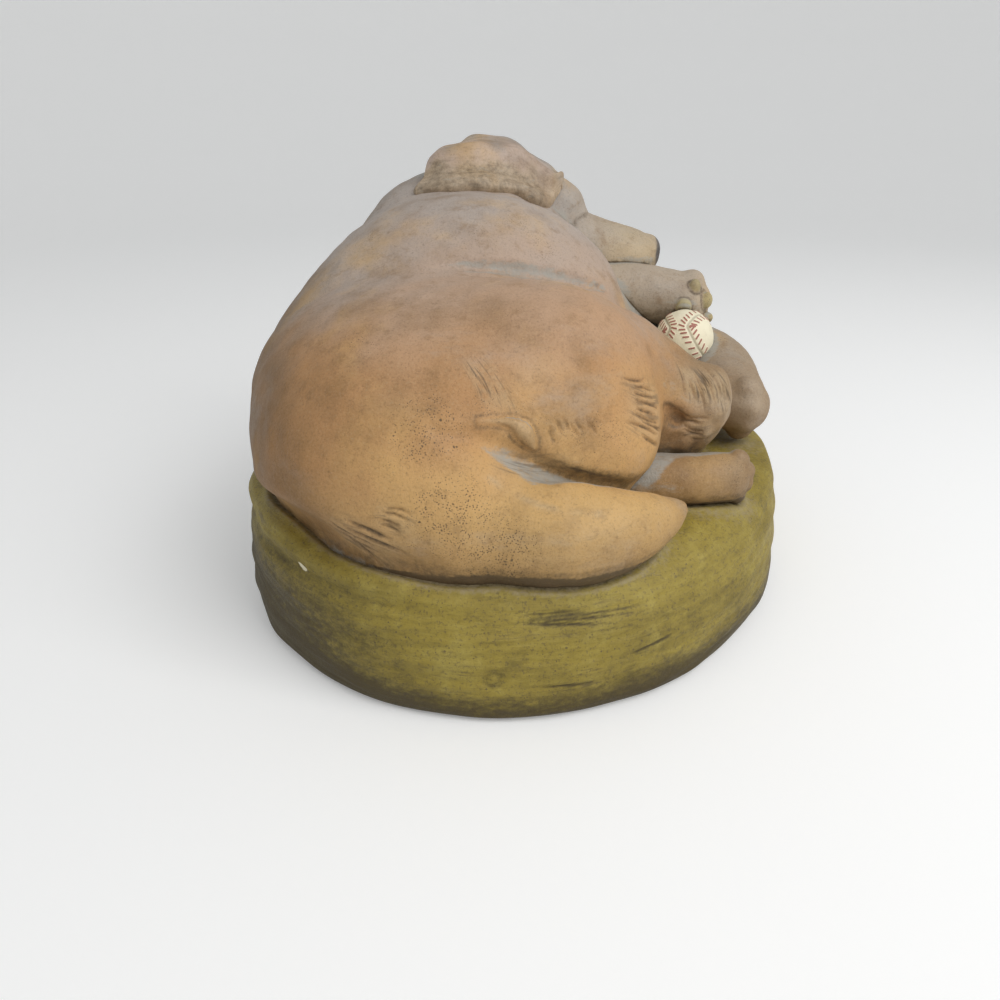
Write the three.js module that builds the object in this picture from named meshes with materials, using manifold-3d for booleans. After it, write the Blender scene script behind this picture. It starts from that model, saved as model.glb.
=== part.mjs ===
// Sleeping dog figurine: a curled dog with a small ball between its paws, on a thick oval mound.
// Millimetres, +Z up. The origin is on the table under the middle of the mound. The nose points to +X,
// the rump is towards -Y and the head towards +Y. The dog lies on its left side, its belly towards +X.
import * as THREE from "three";
import { LoftGeometry } from "three/addons/geometries/LoftGeometry.js";
import { mergeVertices } from "three/addons/utils/BufferGeometryUtils.js";
import Module from "manifold-3d";

// Mound, an oval turned by some degrees about Z, and the pad in a recess under it.
const MOUND_WIDTH = 190;
const MOUND_DEPTH = 222;
const MOUND_HEIGHT = 38;
const MOUND_TURN = -15;
const MOUND_FOOT_BEVEL = 2;
const MOUND_LIP_INSET = 2;
const MOUND_SHOULDER = 5;
const PAD_THICKNESS = 2;
const PAD_RECESS = 1.2;
const PAD_INSET = 12;

// Joints between the castings: glue line, spare depth past a tenon's end, tenons and the body's pegs.
const GLUE_GAP = 0.3;
const ROOM_MARGIN = 0.4;
const EAR_SEAT_MARGIN = 1;
const SOCKET_SPARE = 1;
const LIMB_TENON = 10;
const NECK_TENON = 18;
const SEAT_PEG = 16;
const SEAT_PEG_DEPTH = 10;
const TAIL_JOINT_RADIUS = 18.5;

// Ball.
const BALL_DIAMETER = 22;
const BALL_CENTRE = [67, 40, 33];

// The dog's own origin on the mound. Every place on the dog is measured from there, and its height from the
// mound's flat top.
const DOG_X = -3.4;
const DOG_Y = -18;
const SEAT_HEIGHT = PAD_THICKNESS - PAD_RECESS + MOUND_HEIGHT;

// Trunk, as centres and half sizes. The neck, tail and legs are stations of x, y, z and radius.
const RUMP = [[-26, -28, 14], [53, 52, 50]];
const THIGH = [[7, -27, 33], [36, 37, 33]];
const KNEE = [[17.5, -38, 20.5], [23.2, 20, 15]];
const LOIN = [[-36, 5, 26], [50, 50, 37]];
const RIBS = [[-15, 28, 40], [57, 48, 46]];
const CHEST = [[4, 66, 26], [56, 36, 38]];
const BELLY = [[34, 14, 12], [36, 44, 26]];
const NECK = [[-32, 54, 43, 35], [-30, 61, 50, 32], [-25, 67, 57, 28]];
const NAPE = [[-32, 62, 70, 16], [-14, 63, 75.5, 16.5], [2, 64, 71, 15], [14, 66, 61, 13]];
const TAIL = [
  [-34, -44, 15, 30], [-8, -62, 9, 20], [14, -69, 7.5, 15],
  [29, -66.5, 7, 11], [39.5, -61.5, 7.5, 6.8], [46.5, -57, 8.3, 2.8],
];
const RIGHT_HIND = [[36, -8, 38.5, 13.5], [47.5, -13, 31.5, 13], [56.8, -17, 27, 12.2]];
const LEFT_HIND = [[36, -33, 7, 8.5], [55, -33, 6.5, 8.3], [66.5, -31, 6.5, 8]];
const RIGHT_FORE = [[28, 62, 46, 12], [50, 61, 47, 10.8], [69, 58, 44, 11]];
const LEFT_FORE = [[68, 64, 20, 17], [80, 42, 19, 15], [84, 17, 14.5, 10.8]];

// Head, in its own frame: X along the muzzle, Y to its left, Z to the crown.
const HEAD_PLACE = [-4, 77, 75.5];
const HEAD_NOD = 9;
const SKULL = [[-1, 0, -1], [28, 26, 26]];
const MUZZLE = [[18, 6, -6.5, 14.5], [40, 5, -8, 11.6], [55, 4, -9, 10.4]];
const JAW = [[8, 0, -16, 12], [50, 0, -15, 7]];
const BROW = [[22, 9, 8], [10, 8, 8]];
const CHEEK = [[8, 15, -8], [18, 10, 14]];
const NOSE = [[62.8, 0, -5.6], [5, 8.5, 7]];

// Right ear, in the head's frame: its root on the crown and its free edge, both from the back to the front,
// and how far its middle is bowed up. The thinning is the share of the thickness that its two ends lose.
const EAR_THICKNESS = 7;
const EAR_THINNING = 0.55;
const EAR_ROOT = [
  [-30, -12, 12], [-19, -6, 19], [-6, -2, 23.5], [8, -4, 21], [15, -8, 18], [22, -14, 12],
];
const EAR_FREE = [
  [-33.5, -26, 2.5], [-22, -27.5, 13], [-9, -27.5, 16], [2, -27, 13.5], [11, -26.5, 8], [20, -24, 4.5],
];
const EAR_BOW = 7;

// Toes, as shares of the radius of the leg's last station: size, pitch across the paw, reach past the
// station, and how much less the outer toes reach.
const TOE_SIZE = 0.46;
const TOE_PITCH = 0.46;
const TOE_REACH = 0.66;
const TOE_FAN = 0.14;

// Tenons of the castings, each from a point in the casting to a point in the body, and the body's pegs.
const TENONS = {
  head: { from: [4, 80, 86], to: [-22, 64, 46], width: NECK_TENON },
  tail: { from: [26, -65, 7.5], to: [-14, -58, 12], width: LIMB_TENON },
  right_hind_foot: { from: [56, -16.5, 26.5], to: [32, -12, 33], width: LIMB_TENON },
  left_hind_foot: { from: [61, -32, 6.5], to: [22, -30, 9.5], width: LIMB_TENON },
  right_foreleg: { from: [66, 59, 44.5], to: [28, 62, 47], width: LIMB_TENON },
  left_foreleg: { from: [81, 34, 14.5], to: [46, 58, 20], width: LIMB_TENON },
};
const PEG_PLACES = [[-30, -22], [0, 60]];

// The plane across the tail's root, where the tail parts from the body: a point on it and its direction.
const TAIL_JOINT = [4, -67, 10];
const TAIL_JOINT_RUN = [1, -0.12, -0.06];

// Fillets between the forms.
const MUSCLE_FILLET = 14;
const LOIN_FILLET = 18;
const FOLD_FILLET = 6;
const TAIL_FILLET = 9;
const FACE_FILLET = 7;
const TOE_FILLET = 2.5;

// Facet sizes of the sculpted castings.
const BODY_FACET = 8;
const HEAD_FACET = 4.7;
const TAIL_FACET = 4.8;
const LIMB_FACET = 4.1;

const wasm = await Module();
wasm.setup();

// A solid from a closed geometry, and a geometry from a solid.
function solid(geometry) {
  const bare = new THREE.BufferGeometry().copy(geometry);
  bare.deleteAttribute("normal");
  bare.deleteAttribute("uv");
  const merged = mergeVertices(bare, 1e-4);
  return new wasm.Manifold(new wasm.Mesh({
    numProp: 3,
    vertProperties: new Float32Array(merged.attributes.position.array),
    triVerts: new Uint32Array(merged.index.array),
  }));
}

function geometryOf(shape) {
  const mesh = shape.getMesh();
  const geometry = new THREE.BufferGeometry();
  geometry.setAttribute("position", new THREE.BufferAttribute(new Float32Array(mesh.vertProperties), 3));
  geometry.setIndex(new THREE.BufferAttribute(new Uint32Array(mesh.triVerts), 1));
  return geometry;
}

// Sculpted forms. A form has a depth(x, y, z), negative inside, and a box that holds it.
function ellipsoid(centre, radii) {
  const [cx, cy, cz] = centre;
  const [rx, ry, rz] = radii;
  const box = new THREE.Box3().setFromCenterAndSize(
    new THREE.Vector3(...centre),
    new THREE.Vector3(...radii).multiplyScalar(2),
  );
  const depth = (x, y, z) => {
    const near = Math.hypot((x - cx) / rx, (y - cy) / ry, (z - cz) / rz);
    const slope = Math.hypot((x - cx) / (rx * rx), (y - cy) / (ry * ry), (z - cz) / (rz * rz));
    return slope > 0 ? (near * (near - 1)) / slope : -Math.min(rx, ry, rz);
  };
  return { depth, box };
}

// A limb: a round section carried along a smooth curve through stations of [x, y, z, radius].
function limb(stations, steps = 14) {
  const curve = new THREE.CatmullRomCurve3(stations.map(([x, y, z]) => new THREE.Vector3(x, y, z)));
  const box = new THREE.Box3();
  const rings = [];
  for (let step = 0; step <= steps; step += 1) {
    const along = (step / steps) * (stations.length - 1);
    const low = Math.min(Math.floor(along), stations.length - 2);
    const radius = THREE.MathUtils.lerp(stations[low][3], stations[low + 1][3], along - low);
    const point = curve.getPoint(step / steps);
    rings.push({ point, radius });
    box.union(new THREE.Box3().setFromCenterAndSize(point, new THREE.Vector3().setScalar(2 * radius)));
  }
  const depth = (x, y, z) => {
    let nearest = Infinity;
    for (let step = 0; step < steps; step += 1) {
      const { point: a, radius: ra } = rings[step];
      const { point: b, radius: rb } = rings[step + 1];
      const [ux, uy, uz] = [b.x - a.x, b.y - a.y, b.z - a.z];
      const [px, py, pz] = [x - a.x, y - a.y, z - a.z];
      const share = THREE.MathUtils.clamp(
        (px * ux + py * uy + pz * uz) / (ux * ux + uy * uy + uz * uz), 0, 1,
      );
      const away = Math.hypot(px - share * ux, py - share * uy, pz - share * uz);
      nearest = Math.min(nearest, away - THREE.MathUtils.lerp(ra, rb, share));
    }
    return nearest;
  };
  return { depth, box };
}

// Forms joined with a fillet of the given width.
function blend(width, ...forms) {
  const box = forms.reduce((all, form) => all.union(form.box), new THREE.Box3()).expandByScalar(width / 4);
  const depth = (x, y, z) => forms.map((form) => form.depth(x, y, z)).reduce((a, b) => {
    const overlap = Math.max(width - Math.abs(a - b), 0) / width;
    return Math.min(a, b) - (overlap * overlap * width) / 4;
  });
  return { depth, box };
}

// A form moved into another frame.
function placed(matrix, form) {
  const back = matrix.clone().invert().elements;
  const depth = (x, y, z) => form.depth(
    back[0] * x + back[4] * y + back[8] * z + back[12],
    back[1] * x + back[5] * y + back[9] * z + back[13],
    back[2] * x + back[6] * y + back[10] * z + back[14],
  );
  return { depth, box: form.box.clone().applyMatrix4(matrix) };
}

// The surface of a form as a closed mesh: one vertex in each grid cell that the surface passes through,
// slid along the slope onto the surface, and one pair of triangles across each grid edge that it crosses.
// An outset moves every vertex out from the surface.
function skin(form, facet, outset = 0) {
  const box = form.box.clone().expandByScalar(1.5 * facet);
  const count = box.getSize(new THREE.Vector3()).divideScalar(facet).ceil().toArray().map((n) => n + 1);
  const stride = [1, count[0], count[0] * count[1]];
  const depths = new Float64Array(count[0] * count[1] * count[2]);
  const place = (i, j, k) => i + j * stride[1] + k * stride[2];
  for (let k = 0; k < count[2]; k += 1) {
    for (let j = 0; j < count[1]; j += 1) {
      for (let i = 0; i < count[0]; i += 1) {
        const [x, y, z] = [box.min.x + i * facet, box.min.y + j * facet, box.min.z + k * facet];
        depths[place(i, j, k)] = form.depth(x, y, z);
      }
    }
  }
  const points = [];
  const vertexOf = new Map();
  const vertexAt = (i, j, k) => {
    const key = place(i, j, k);
    if (!vertexOf.has(key)) {
      vertexOf.set(key, points.length / 3);
      const steps = cellCrossing(depths, place, i, j, k);
      const start = new THREE.Vector3(...steps).multiplyScalar(facet).add(box.min);
      points.push(...ontoSurface(form, start, facet / 2, outset).toArray());
    }
    return vertexOf.get(key);
  };
  const apart = (a, b) => Math.hypot(
    points[3 * a] - points[3 * b],
    points[3 * a + 1] - points[3 * b + 1],
    points[3 * a + 2] - points[3 * b + 2],
  );
  const triangles = [];
  const quad = (corners, turned) => {
    const [a, b, c, d] = turned ? corners.reverse() : corners;
    if (apart(a, c) < apart(b, d)) triangles.push(a, b, c, a, c, d);
    else triangles.push(a, b, d, b, c, d);
  };
  for (let k = 1; k < count[2] - 1; k += 1) {
    for (let j = 1; j < count[1] - 1; j += 1) {
      for (let i = 1; i < count[0] - 1; i += 1) {
        const inside = depths[place(i, j, k)] < 0;
        if (inside !== depths[place(i + 1, j, k)] < 0) {
          const ring = [[j - 1, k - 1], [j, k - 1], [j, k], [j - 1, k]];
          quad(ring.map(([b, c]) => vertexAt(i, b, c)), !inside);
        }
        if (inside !== depths[place(i, j + 1, k)] < 0) {
          const ring = [[i - 1, k - 1], [i - 1, k], [i, k], [i, k - 1]];
          quad(ring.map(([a, c]) => vertexAt(a, j, c)), !inside);
        }
        if (inside !== depths[place(i, j, k + 1)] < 0) {
          const ring = [[i - 1, j - 1], [i, j - 1], [i, j], [i - 1, j]];
          quad(ring.map(([a, b]) => vertexAt(a, b, k)), !inside);
        }
      }
    }
  }
  const geometry = new THREE.BufferGeometry();
  geometry.setAttribute("position", new THREE.Float32BufferAttribute(points, 3));
  geometry.setIndex(triangles);
  return geometry;
}

// The middle of the places where the surface crosses the twelve edges of a grid cell, in grid steps.
function cellCrossing(depths, place, i, j, k) {
  const sum = [0, 0, 0];
  let crossings = 0;
  for (let axis = 0; axis < 3; axis += 1) {
    for (let side = 0; side < 4; side += 1) {
      const start = [i, j, k];
      start[(axis + 1) % 3] += side & 1;
      start[(axis + 2) % 3] += side >> 1;
      const end = [...start];
      end[axis] += 1;
      const from = depths[place(...start)];
      const to = depths[place(...end)];
      if (from < 0 !== to < 0) {
        start[axis] += from / (from - to);
        start.forEach((value, index) => { sum[index] += value; });
        crossings += 1;
      }
    }
  }
  return sum.map((value) => value / crossings);
}

// The direction in which a form's depth grows fastest, as long as it is steep.
function slopeAt(form, { x, y, z }) {
  const reach = 0.02;
  const here = form.depth(x, y, z);
  return new THREE.Vector3(
    form.depth(x + reach, y, z) - here,
    form.depth(x, y + reach, z) - here,
    form.depth(x, y, z + reach) - here,
  ).divideScalar(reach);
}

// A point slid along the slope onto the surface, by no more than a limit each way, then out by an outset.
function ontoSurface(form, start, limit, outset) {
  const point = start.clone();
  for (let turn = 0; turn < 3; turn += 1) {
    const slope = slopeAt(form, point);
    const depth = form.depth(point.x, point.y, point.z);
    point.addScaledVector(slope, -depth / Math.max(slope.lengthSq(), 1e-6));
  }
  point.clamp(start.clone().subScalar(limit), start.clone().addScalar(limit));
  return point.addScaledVector(slopeAt(form, point).normalize(), outset);
}

// A round bar between two points, with flat ends.
function bar(from, to, radius, sides = 20) {
  const start = new THREE.Vector3(...from);
  const run = new THREE.Vector3(...to).sub(start);
  const geometry = new THREE.CylinderGeometry(radius, radius, run.length(), sides);
  const axis = new THREE.Vector3(0, 1, 0);
  const turn = new THREE.Quaternion().setFromUnitVectors(axis, run.clone().normalize());
  geometry.applyQuaternion(turn);
  geometry.translate(...start.addScaledVector(run, 0.5).toArray());
  return solid(geometry);
}

// Everything below the dog's seat, to cut its castings flat.
function belowSeat() {
  const slab = new THREE.BoxGeometry(4 * MOUND_WIDTH, 4 * MOUND_DEPTH, 4 * MOUND_HEIGHT);
  slab.translate(0, 0, -2 * MOUND_HEIGHT);
  return solid(slab);
}

// A leg with a paw at its end: four toes in a fan across the last station.
function leg(stations) {
  const [x, y, z, radius] = stations.at(-1);
  const before = stations.at(-2);
  const run = new THREE.Vector3(x - before[0], y - before[1], z - before[2]).normalize();
  const across = new THREE.Vector3(0, 0, 1).addScaledVector(run, -run.z).normalize();
  const toes = [-1.5, -0.5, 0.5, 1.5].map((place) => {
    const centre = new THREE.Vector3(x, y, z)
      .addScaledVector(across, TOE_PITCH * radius * place)
      .addScaledVector(run, radius * (TOE_REACH - TOE_FAN * place * place));
    return ellipsoid(centre.toArray(), new Array(3).fill(TOE_SIZE * radius));
  });
  return blend(TOE_FILLET, limb(stations), ...toes);
}

// Trunk. The rump, thigh and knee are one rolled mass, the rib cage and neck another, with a fold between them.
const haunch = blend(MUSCLE_FILLET, ellipsoid(...RUMP), ellipsoid(...THIGH), ellipsoid(...KNEE));
const front = blend(
  MUSCLE_FILLET,
  ellipsoid(...RIBS), ellipsoid(...CHEST), ellipsoid(...BELLY), limb(NECK), limb(NAPE),
);
const trunk = blend(LOIN_FILLET, blend(FOLD_FILLET, haunch, front), ellipsoid(...LOIN));

// The tail parts from the body on a plane across its root, and the body keeps a stump.
const tailForm = limb(TAIL, 20);
const tailJoint = new THREE.Vector3(...TAIL_JOINT);
const tailRun = new THREE.Vector3(...TAIL_JOINT_RUN).normalize();
const tailStump = {
  depth: (x, y, z) => Math.max(
    tailForm.depth(x, y, z),
    tailRun.dot(new THREE.Vector3(x, y, z).sub(tailJoint)) - BODY_FACET,
  ),
  box: tailForm.box,
};
const bodyForm = blend(TAIL_FILLET, trunk, tailStump);

// Head, with the paired forms mirrored.
const headFrame = new THREE.Matrix4()
  .makeRotationY(THREE.MathUtils.degToRad(HEAD_NOD))
  .setPosition(...HEAD_PLACE);
const bothSides = (make) => [-1, 1].map(make);
const lump = ([[x, y, z], radii]) => (side) => ellipsoid([x, side * y, z], radii);
const flew = (side) => limb(MUZZLE.map(([x, y, z, radius]) => [x, side * y, z, radius]));
const face = blend(
  FACE_FILLET,
  ellipsoid(...SKULL), limb(JAW), ...bothSides(flew), ...bothSides(lump(BROW)), ...bothSides(lump(CHEEK)),
);
const headForm = placed(headFrame, blend(TOE_FILLET, face, ellipsoid(...NOSE)));

const rightHindForm = leg(RIGHT_HIND);
const leftHindForm = leg(LEFT_HIND);
const rightForeForm = leg(RIGHT_FORE);
const leftForeForm = leg(LEFT_FORE);

// An ear in the head's frame: a leaf from its root on the crown to its free edge, bowed upwards, as a row
// of closed sections. The side is 1 for the right ear and -1 for the left one.
function earGeometry(side, margin) {
  const toCurve = (points) => new THREE.CatmullRomCurve3(points.map(([x, y, z]) => (
    new THREE.Vector3(x, side * y, z)
  )));
  const root = toCurve(EAR_ROOT);
  const free = toCurve(EAR_FREE);
  const bow = new THREE.Vector3(0, 0, EAR_BOW);
  const rows = 13;
  const columns = 7;
  const sections = [];
  for (let row = 0; row < rows; row += 1) {
    const along = row / (rows - 1);
    const start = root.getPoint(along);
    const end = free.getPoint(along);
    const middle = start.clone().add(end).multiplyScalar(0.5).add(bow);
    const spread = end.clone().sub(start).normalize();
    const run = root.getTangent(along).add(free.getTangent(along)).normalize();
    const up = run.clone().cross(spread).multiplyScalar(-side).normalize();
    const overrun = run.multiplyScalar(margin * (2 * along - 1));
    const leaf = new THREE.QuadraticBezierCurve3(
      start.addScaledVector(spread, -margin), middle, end.addScaledVector(spread, margin),
    );
    const full = 1 - EAR_THINNING * (1 - Math.sqrt(Math.sin(Math.PI * along)));
    const half = (EAR_THICKNESS / 2) * full + margin;
    const upper = [];
    const lower = [];
    for (let column = 0; column <= columns; column += 1) {
      const share = column / columns;
      const rounding = Math.sqrt(Math.max(1 - (2 * share - 1) ** 6, 0));
      const point = leaf.getPoint(share).add(overrun);
      upper.push(point.clone().addScaledVector(up, half * rounding));
      if (column > 0 && column < columns) lower.push(point.clone().addScaledVector(up, -half * rounding));
    }
    const ring = [...upper, ...lower.reverse()];
    sections.push(side > 0 ? ring : ring.reverse());
  }
  return new LoftGeometry(sections, { closed: true, capStart: true, capEnd: true }).applyMatrix4(headFrame);
}

// Mound: a profile turned about Z, stretched to the oval.
function moundGeometry() {
  const rim = MOUND_WIDTH / 2;
  const lip = rim - MOUND_LIP_INSET;
  const profile = new THREE.Path();
  profile.moveTo(0, 0);
  profile.lineTo(rim - MOUND_FOOT_BEVEL, 0);
  profile.quadraticCurveTo(rim, 1, rim, MOUND_HEIGHT / 4);
  profile.quadraticCurveTo(rim, MOUND_HEIGHT / 2, lip, MOUND_HEIGHT - MOUND_SHOULDER);
  profile.quadraticCurveTo(lip, MOUND_HEIGHT, lip - MOUND_SHOULDER, MOUND_HEIGHT);
  profile.lineTo(0, MOUND_HEIGHT);
  return new THREE.LatheGeometry(profile.getPoints(3), 56)
    .rotateX(Math.PI / 2)
    .scale(1, MOUND_DEPTH / MOUND_WIDTH, 1)
    .rotateZ(THREE.MathUtils.degToRad(MOUND_TURN))
    .translate(0, 0, SEAT_HEIGHT - MOUND_HEIGHT);
}

// An oval plate that follows the mound's outline, inset from it, standing on the table.
function ovalPlate(inset, height) {
  const outline = new THREE.Shape();
  outline.absellipse(0, 0, MOUND_WIDTH / 2 - inset, MOUND_DEPTH / 2 - inset, 0, 2 * Math.PI);
  return new THREE.ExtrudeGeometry(outline, { depth: height, bevelEnabled: false, curveSegments: 48 })
    .rotateZ(THREE.MathUtils.degToRad(MOUND_TURN));
}

// The ball, or the pocket that holds it with a margin round it.
function ballGeometry(margin) {
  return new THREE.SphereGeometry(BALL_DIAMETER / 2 + margin, 24, 14).translate(...BALL_CENTRE);
}

// The space that a casting takes from its neighbours, with the glue line round it.
function room(form, facet) {
  return solid(skin(form, facet, ROOM_MARGIN));
}

// What is cut from the end of the tail's stump, less a margin.
function stumpEnd(margin) {
  const from = tailJoint.clone().addScaledVector(tailRun, margin);
  const to = tailJoint.clone().addScaledVector(tailRun, 2 * BODY_FACET - margin);
  return bar(from.toArray(), to.toArray(), TAIL_JOINT_RADIUS - margin);
}

// The body with its stump cut flat, its pegs and its sockets.
function bodySolid() {
  let body = solid(skin(bodyForm, BODY_FACET)).subtract(belowSeat());
  body = body.subtract(ballRoom).subtract(stumpEnd(0));
  for (const [x, y] of PEG_PLACES) {
    body = body.add(bar([x, y, SEAT_PEG_DEPTH], [x, y, -SEAT_PEG_DEPTH], SEAT_PEG / 2));
  }
  for (const tenon of Object.values(TENONS)) {
    body = body.subtract(socket(tenon));
  }
  return body;
}

// The socket of a tenon, open past both of its ends.
function socket({ from, to, width }) {
  const mouth = lengthened(to, from, SOCKET_SPARE);
  const end = lengthened(from, to, SOCKET_SPARE);
  return bar(mouth, end, width / 2 + GLUE_GAP);
}

// The end of a run from one point to another, moved on by some length.
function lengthened(from, to, length) {
  const end = new THREE.Vector3(...to);
  const step = end.clone().sub(new THREE.Vector3(...from)).setLength(length);
  return end.add(step).toArray();
}

// A casting that gives way to its neighbours and to the tenons of the others, cut flat on the seat, with its
// own tenon clear of the ball.
function castingSolid(name, form, facet, neighbours) {
  const { from, to, width } = TENONS[name];
  const others = Object.keys(TENONS).filter((other) => other !== name);
  const sockets = others.map((other) => socket(TENONS[other]));
  const takers = [...neighbours, ...sockets];
  const cut = takers.reduce((left, taker) => left.subtract(taker), solid(skin(form, facet)));
  return cut.subtract(belowSeat()).add(bar(from, to, width / 2).subtract(ballRoom));
}

// The mound with its recess and the sockets for the body's pegs.
function moundSolid() {
  let mound = solid(moundGeometry()).subtract(solid(ovalPlate(PAD_INSET - GLUE_GAP, PAD_THICKNESS)));
  for (const [x, y] of PEG_PLACES) {
    const top = [x + DOG_X, y + DOG_Y, SEAT_HEIGHT + SOCKET_SPARE];
    const end = [x + DOG_X, y + DOG_Y, SEAT_HEIGHT - SEAT_PEG_DEPTH - SOCKET_SPARE];
    mound = mound.subtract(bar(top, end, SEAT_PEG / 2 + GLUE_GAP));
  }
  return mound;
}

const COAT = { color: 0xa8743c, roughness: 0.7, metalness: 0 };
const MOSS = { color: 0x7d7a2c, roughness: 0.6, metalness: 0 };
const FELT = { color: 0x2f3328, roughness: 1, metalness: 0 };
const LEATHER = { color: 0xd9cfa4, roughness: 0.6, metalness: 0 };

function addPart(parent, name, geometry, finish) {
  const mesh = new THREE.Mesh(geometry, new THREE.MeshStandardMaterial(finish));
  mesh.name = name;
  parent.add(mesh);
}

const ballRoom = solid(ballGeometry(GLUE_GAP));
const bodyRoom = room(bodyForm, BODY_FACET).subtract(stumpEnd(GLUE_GAP));

const figurine = new THREE.Group();
addPart(figurine, "felt_pad", ovalPlate(PAD_INSET, PAD_THICKNESS - GLUE_GAP), FELT);
addPart(figurine, "mound", geometryOf(moundSolid()), MOSS);

const dog = new THREE.Group();
dog.position.set(DOG_X, DOG_Y, SEAT_HEIGHT + GLUE_GAP);
figurine.add(dog);

let body = bodySolid();
let head = castingSolid("head", headForm, HEAD_FACET, [bodyRoom, ballRoom]);
for (const [name, side] of [["right_ear", 1], ["left_ear", -1]]) {
  const seat = solid(earGeometry(side, EAR_SEAT_MARGIN));
  head = head.subtract(seat);
  body = body.subtract(seat);
  addPart(dog, name, earGeometry(side, 0), COAT);
}
addPart(dog, "body", geometryOf(body), COAT);
addPart(dog, "head", geometryOf(head), COAT);

const tailCut = bar(
  tailJoint.clone().addScaledVector(tailRun, -MOUND_WIDTH).toArray(),
  tailJoint.clone().addScaledVector(tailRun, GLUE_GAP).toArray(),
  MOUND_WIDTH,
);
const tail = castingSolid("tail", tailForm, TAIL_FACET, [bodyRoom, tailCut]);
addPart(dog, "tail", geometryOf(tail), COAT);

// The legs, each clear of the ones made before it.
const taken = [bodyRoom, ballRoom, room(headForm, HEAD_FACET), room(tailForm, TAIL_FACET)];
const legs = {
  right_hind_foot: rightHindForm,
  left_hind_foot: leftHindForm,
  right_foreleg: rightForeForm,
  left_foreleg: leftForeForm,
};
for (const [name, form] of Object.entries(legs)) {
  addPart(dog, name, geometryOf(castingSolid(name, form, LIMB_FACET, taken)), COAT);
  taken.push(room(form, LIMB_FACET));
}

addPart(dog, "ball", ballGeometry(0), LEATHER);

export default figurine;
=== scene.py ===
"""Sleeping dog figurine: a painted, curled dog with a ball between its paws, on an oval mound."""
import math
from typing import NamedTuple

import bpy
import numpy as np
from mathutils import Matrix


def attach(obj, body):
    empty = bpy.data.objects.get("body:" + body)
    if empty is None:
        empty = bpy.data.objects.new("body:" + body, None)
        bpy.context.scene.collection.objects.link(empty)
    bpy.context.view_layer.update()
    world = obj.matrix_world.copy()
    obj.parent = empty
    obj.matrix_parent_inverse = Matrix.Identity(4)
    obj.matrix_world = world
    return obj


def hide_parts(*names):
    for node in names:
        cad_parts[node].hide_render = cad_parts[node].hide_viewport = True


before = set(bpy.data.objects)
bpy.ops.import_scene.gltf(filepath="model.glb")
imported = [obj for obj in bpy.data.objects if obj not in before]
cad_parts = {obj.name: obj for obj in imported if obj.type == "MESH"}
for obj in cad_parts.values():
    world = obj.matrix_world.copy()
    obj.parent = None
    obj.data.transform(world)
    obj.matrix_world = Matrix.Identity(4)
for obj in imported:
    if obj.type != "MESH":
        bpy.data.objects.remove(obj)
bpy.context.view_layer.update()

bl_info = {
    "name": "Sleeping Dog Figurine",
    "version": (1, 0, 0),
    "blender": (4, 5, 0),
    "location": "View3D > Sidebar > Figurine",
    "description": "Builds a painted figurine of a sleeping dog on an oval mound",
    "category": "Add Mesh",
}

MM = 0.001

# Places are in millimetres. Those on the dog are measured from its own origin on the mound's top, and its
# pieces end at a height sunk a little below that.
DOG_PLACE = np.array([-3.4, -18.0, 39.1])
SUNK = -6.0

# Trunk, as centres and half sizes. The neck, tail, legs and raised lock, and the groove, hollow, tuck and
# fold cut out of the body, are stations of x, y, z and radius.
RUMP = ((-26, -28, 14), (53, 52, 50))
THIGH = ((7, -27, 33), (36, 37, 33))
KNEE = ((17.5, -38, 20.5), (23.2, 20, 15))
LOIN = ((-36, 5, 26), (50, 50, 37))
RIBS = ((-15, 28, 40), (57, 48, 46))
CHEST = ((4, 66, 26), (56, 36, 38))
BELLY = ((34, 14, 12), (36, 44, 26))
NECK = ((-32, 54, 43, 35), (-30, 61, 50, 32), (-25, 67, 57, 28))
NAPE = ((-33, 62, 70, 17.5), (-14, 63, 75.5, 18.5), (2, 64, 71, 16.5), (14, 66, 61, 14))
TAIL = (
    (-34, -44, 15, 30), (-8, -62, 9, 20), (14, -69, 7.5, 15),
    (29, -66.5, 7, 11), (39.5, -61.5, 7.5, 6.8), (46.5, -57, 8.3, 2.8),
)
LOCK = (
    (-9, -69.8, 39.2, 0.2), (-4.5, -69.3, 39.3, 0.45), (-1, -69.1, 38.7, 1.1),
    (1.6, -68.9, 36.6, 2.1), (3.4, -68.9, 34.2, 1.7), (4.6, -68.9, 31.8, 0.5),
)
GROOVE = (
    (-18, -74.5, 37.5, 0.6), (-10, -73.3, 36, 1.4), (-2.6, -71.8, 32.4, 2), (4, -70, 28, 2.1),
    (12, -66, 22.3, 2.2), (24, -61, 16.3, 2.4), (34, -55, 12.4, 2.4), (40, -47, 11, 2.4),
)
HOCK_HOLLOW = (
    (45.8, -32.8, 30.4, 0.5), (48, -30.6, 27.8, 1.2), (50, -29.5, 25.7, 1.8), (52.3, -29.4, 24.8, 1.3),
    (54.8, -29.6, 24.2, 0.5),
)
TUCK = (
    (-84.9, -28.9, 1, 8), (-82, -44.1, 1, 10.6), (-75.9, -58.6, 1, 14), (-66.2, -71, 1, 15),
    (-53.3, -80.2, 1, 13.4), (-38.6, -85.8, 1, 10), (-23.2, -88.5, 1, 7.5),
)
FOLD = (
    (-22, -13, 68.5, 0.6), (-8, -10.5, 67.8, 1.6), (5, -8.5, 66.3, 2.2), (18, -4, 63, 2), (30, 5, 58, 1),
)
RIGHT_HIND = ((36, -8, 38.5, 13.5), (47.5, -13, 31.5, 13), (56.8, -17, 27, 12.2))
LEFT_HIND = ((36, -33, 7, 8.5), (55, -33, 6.5, 8.3), (66.5, -31, 6.5, 8))
RIGHT_FORE = ((28, 62, 46, 12), (50, 61, 47, 10.8), (69, 58, 44, 11))
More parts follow.
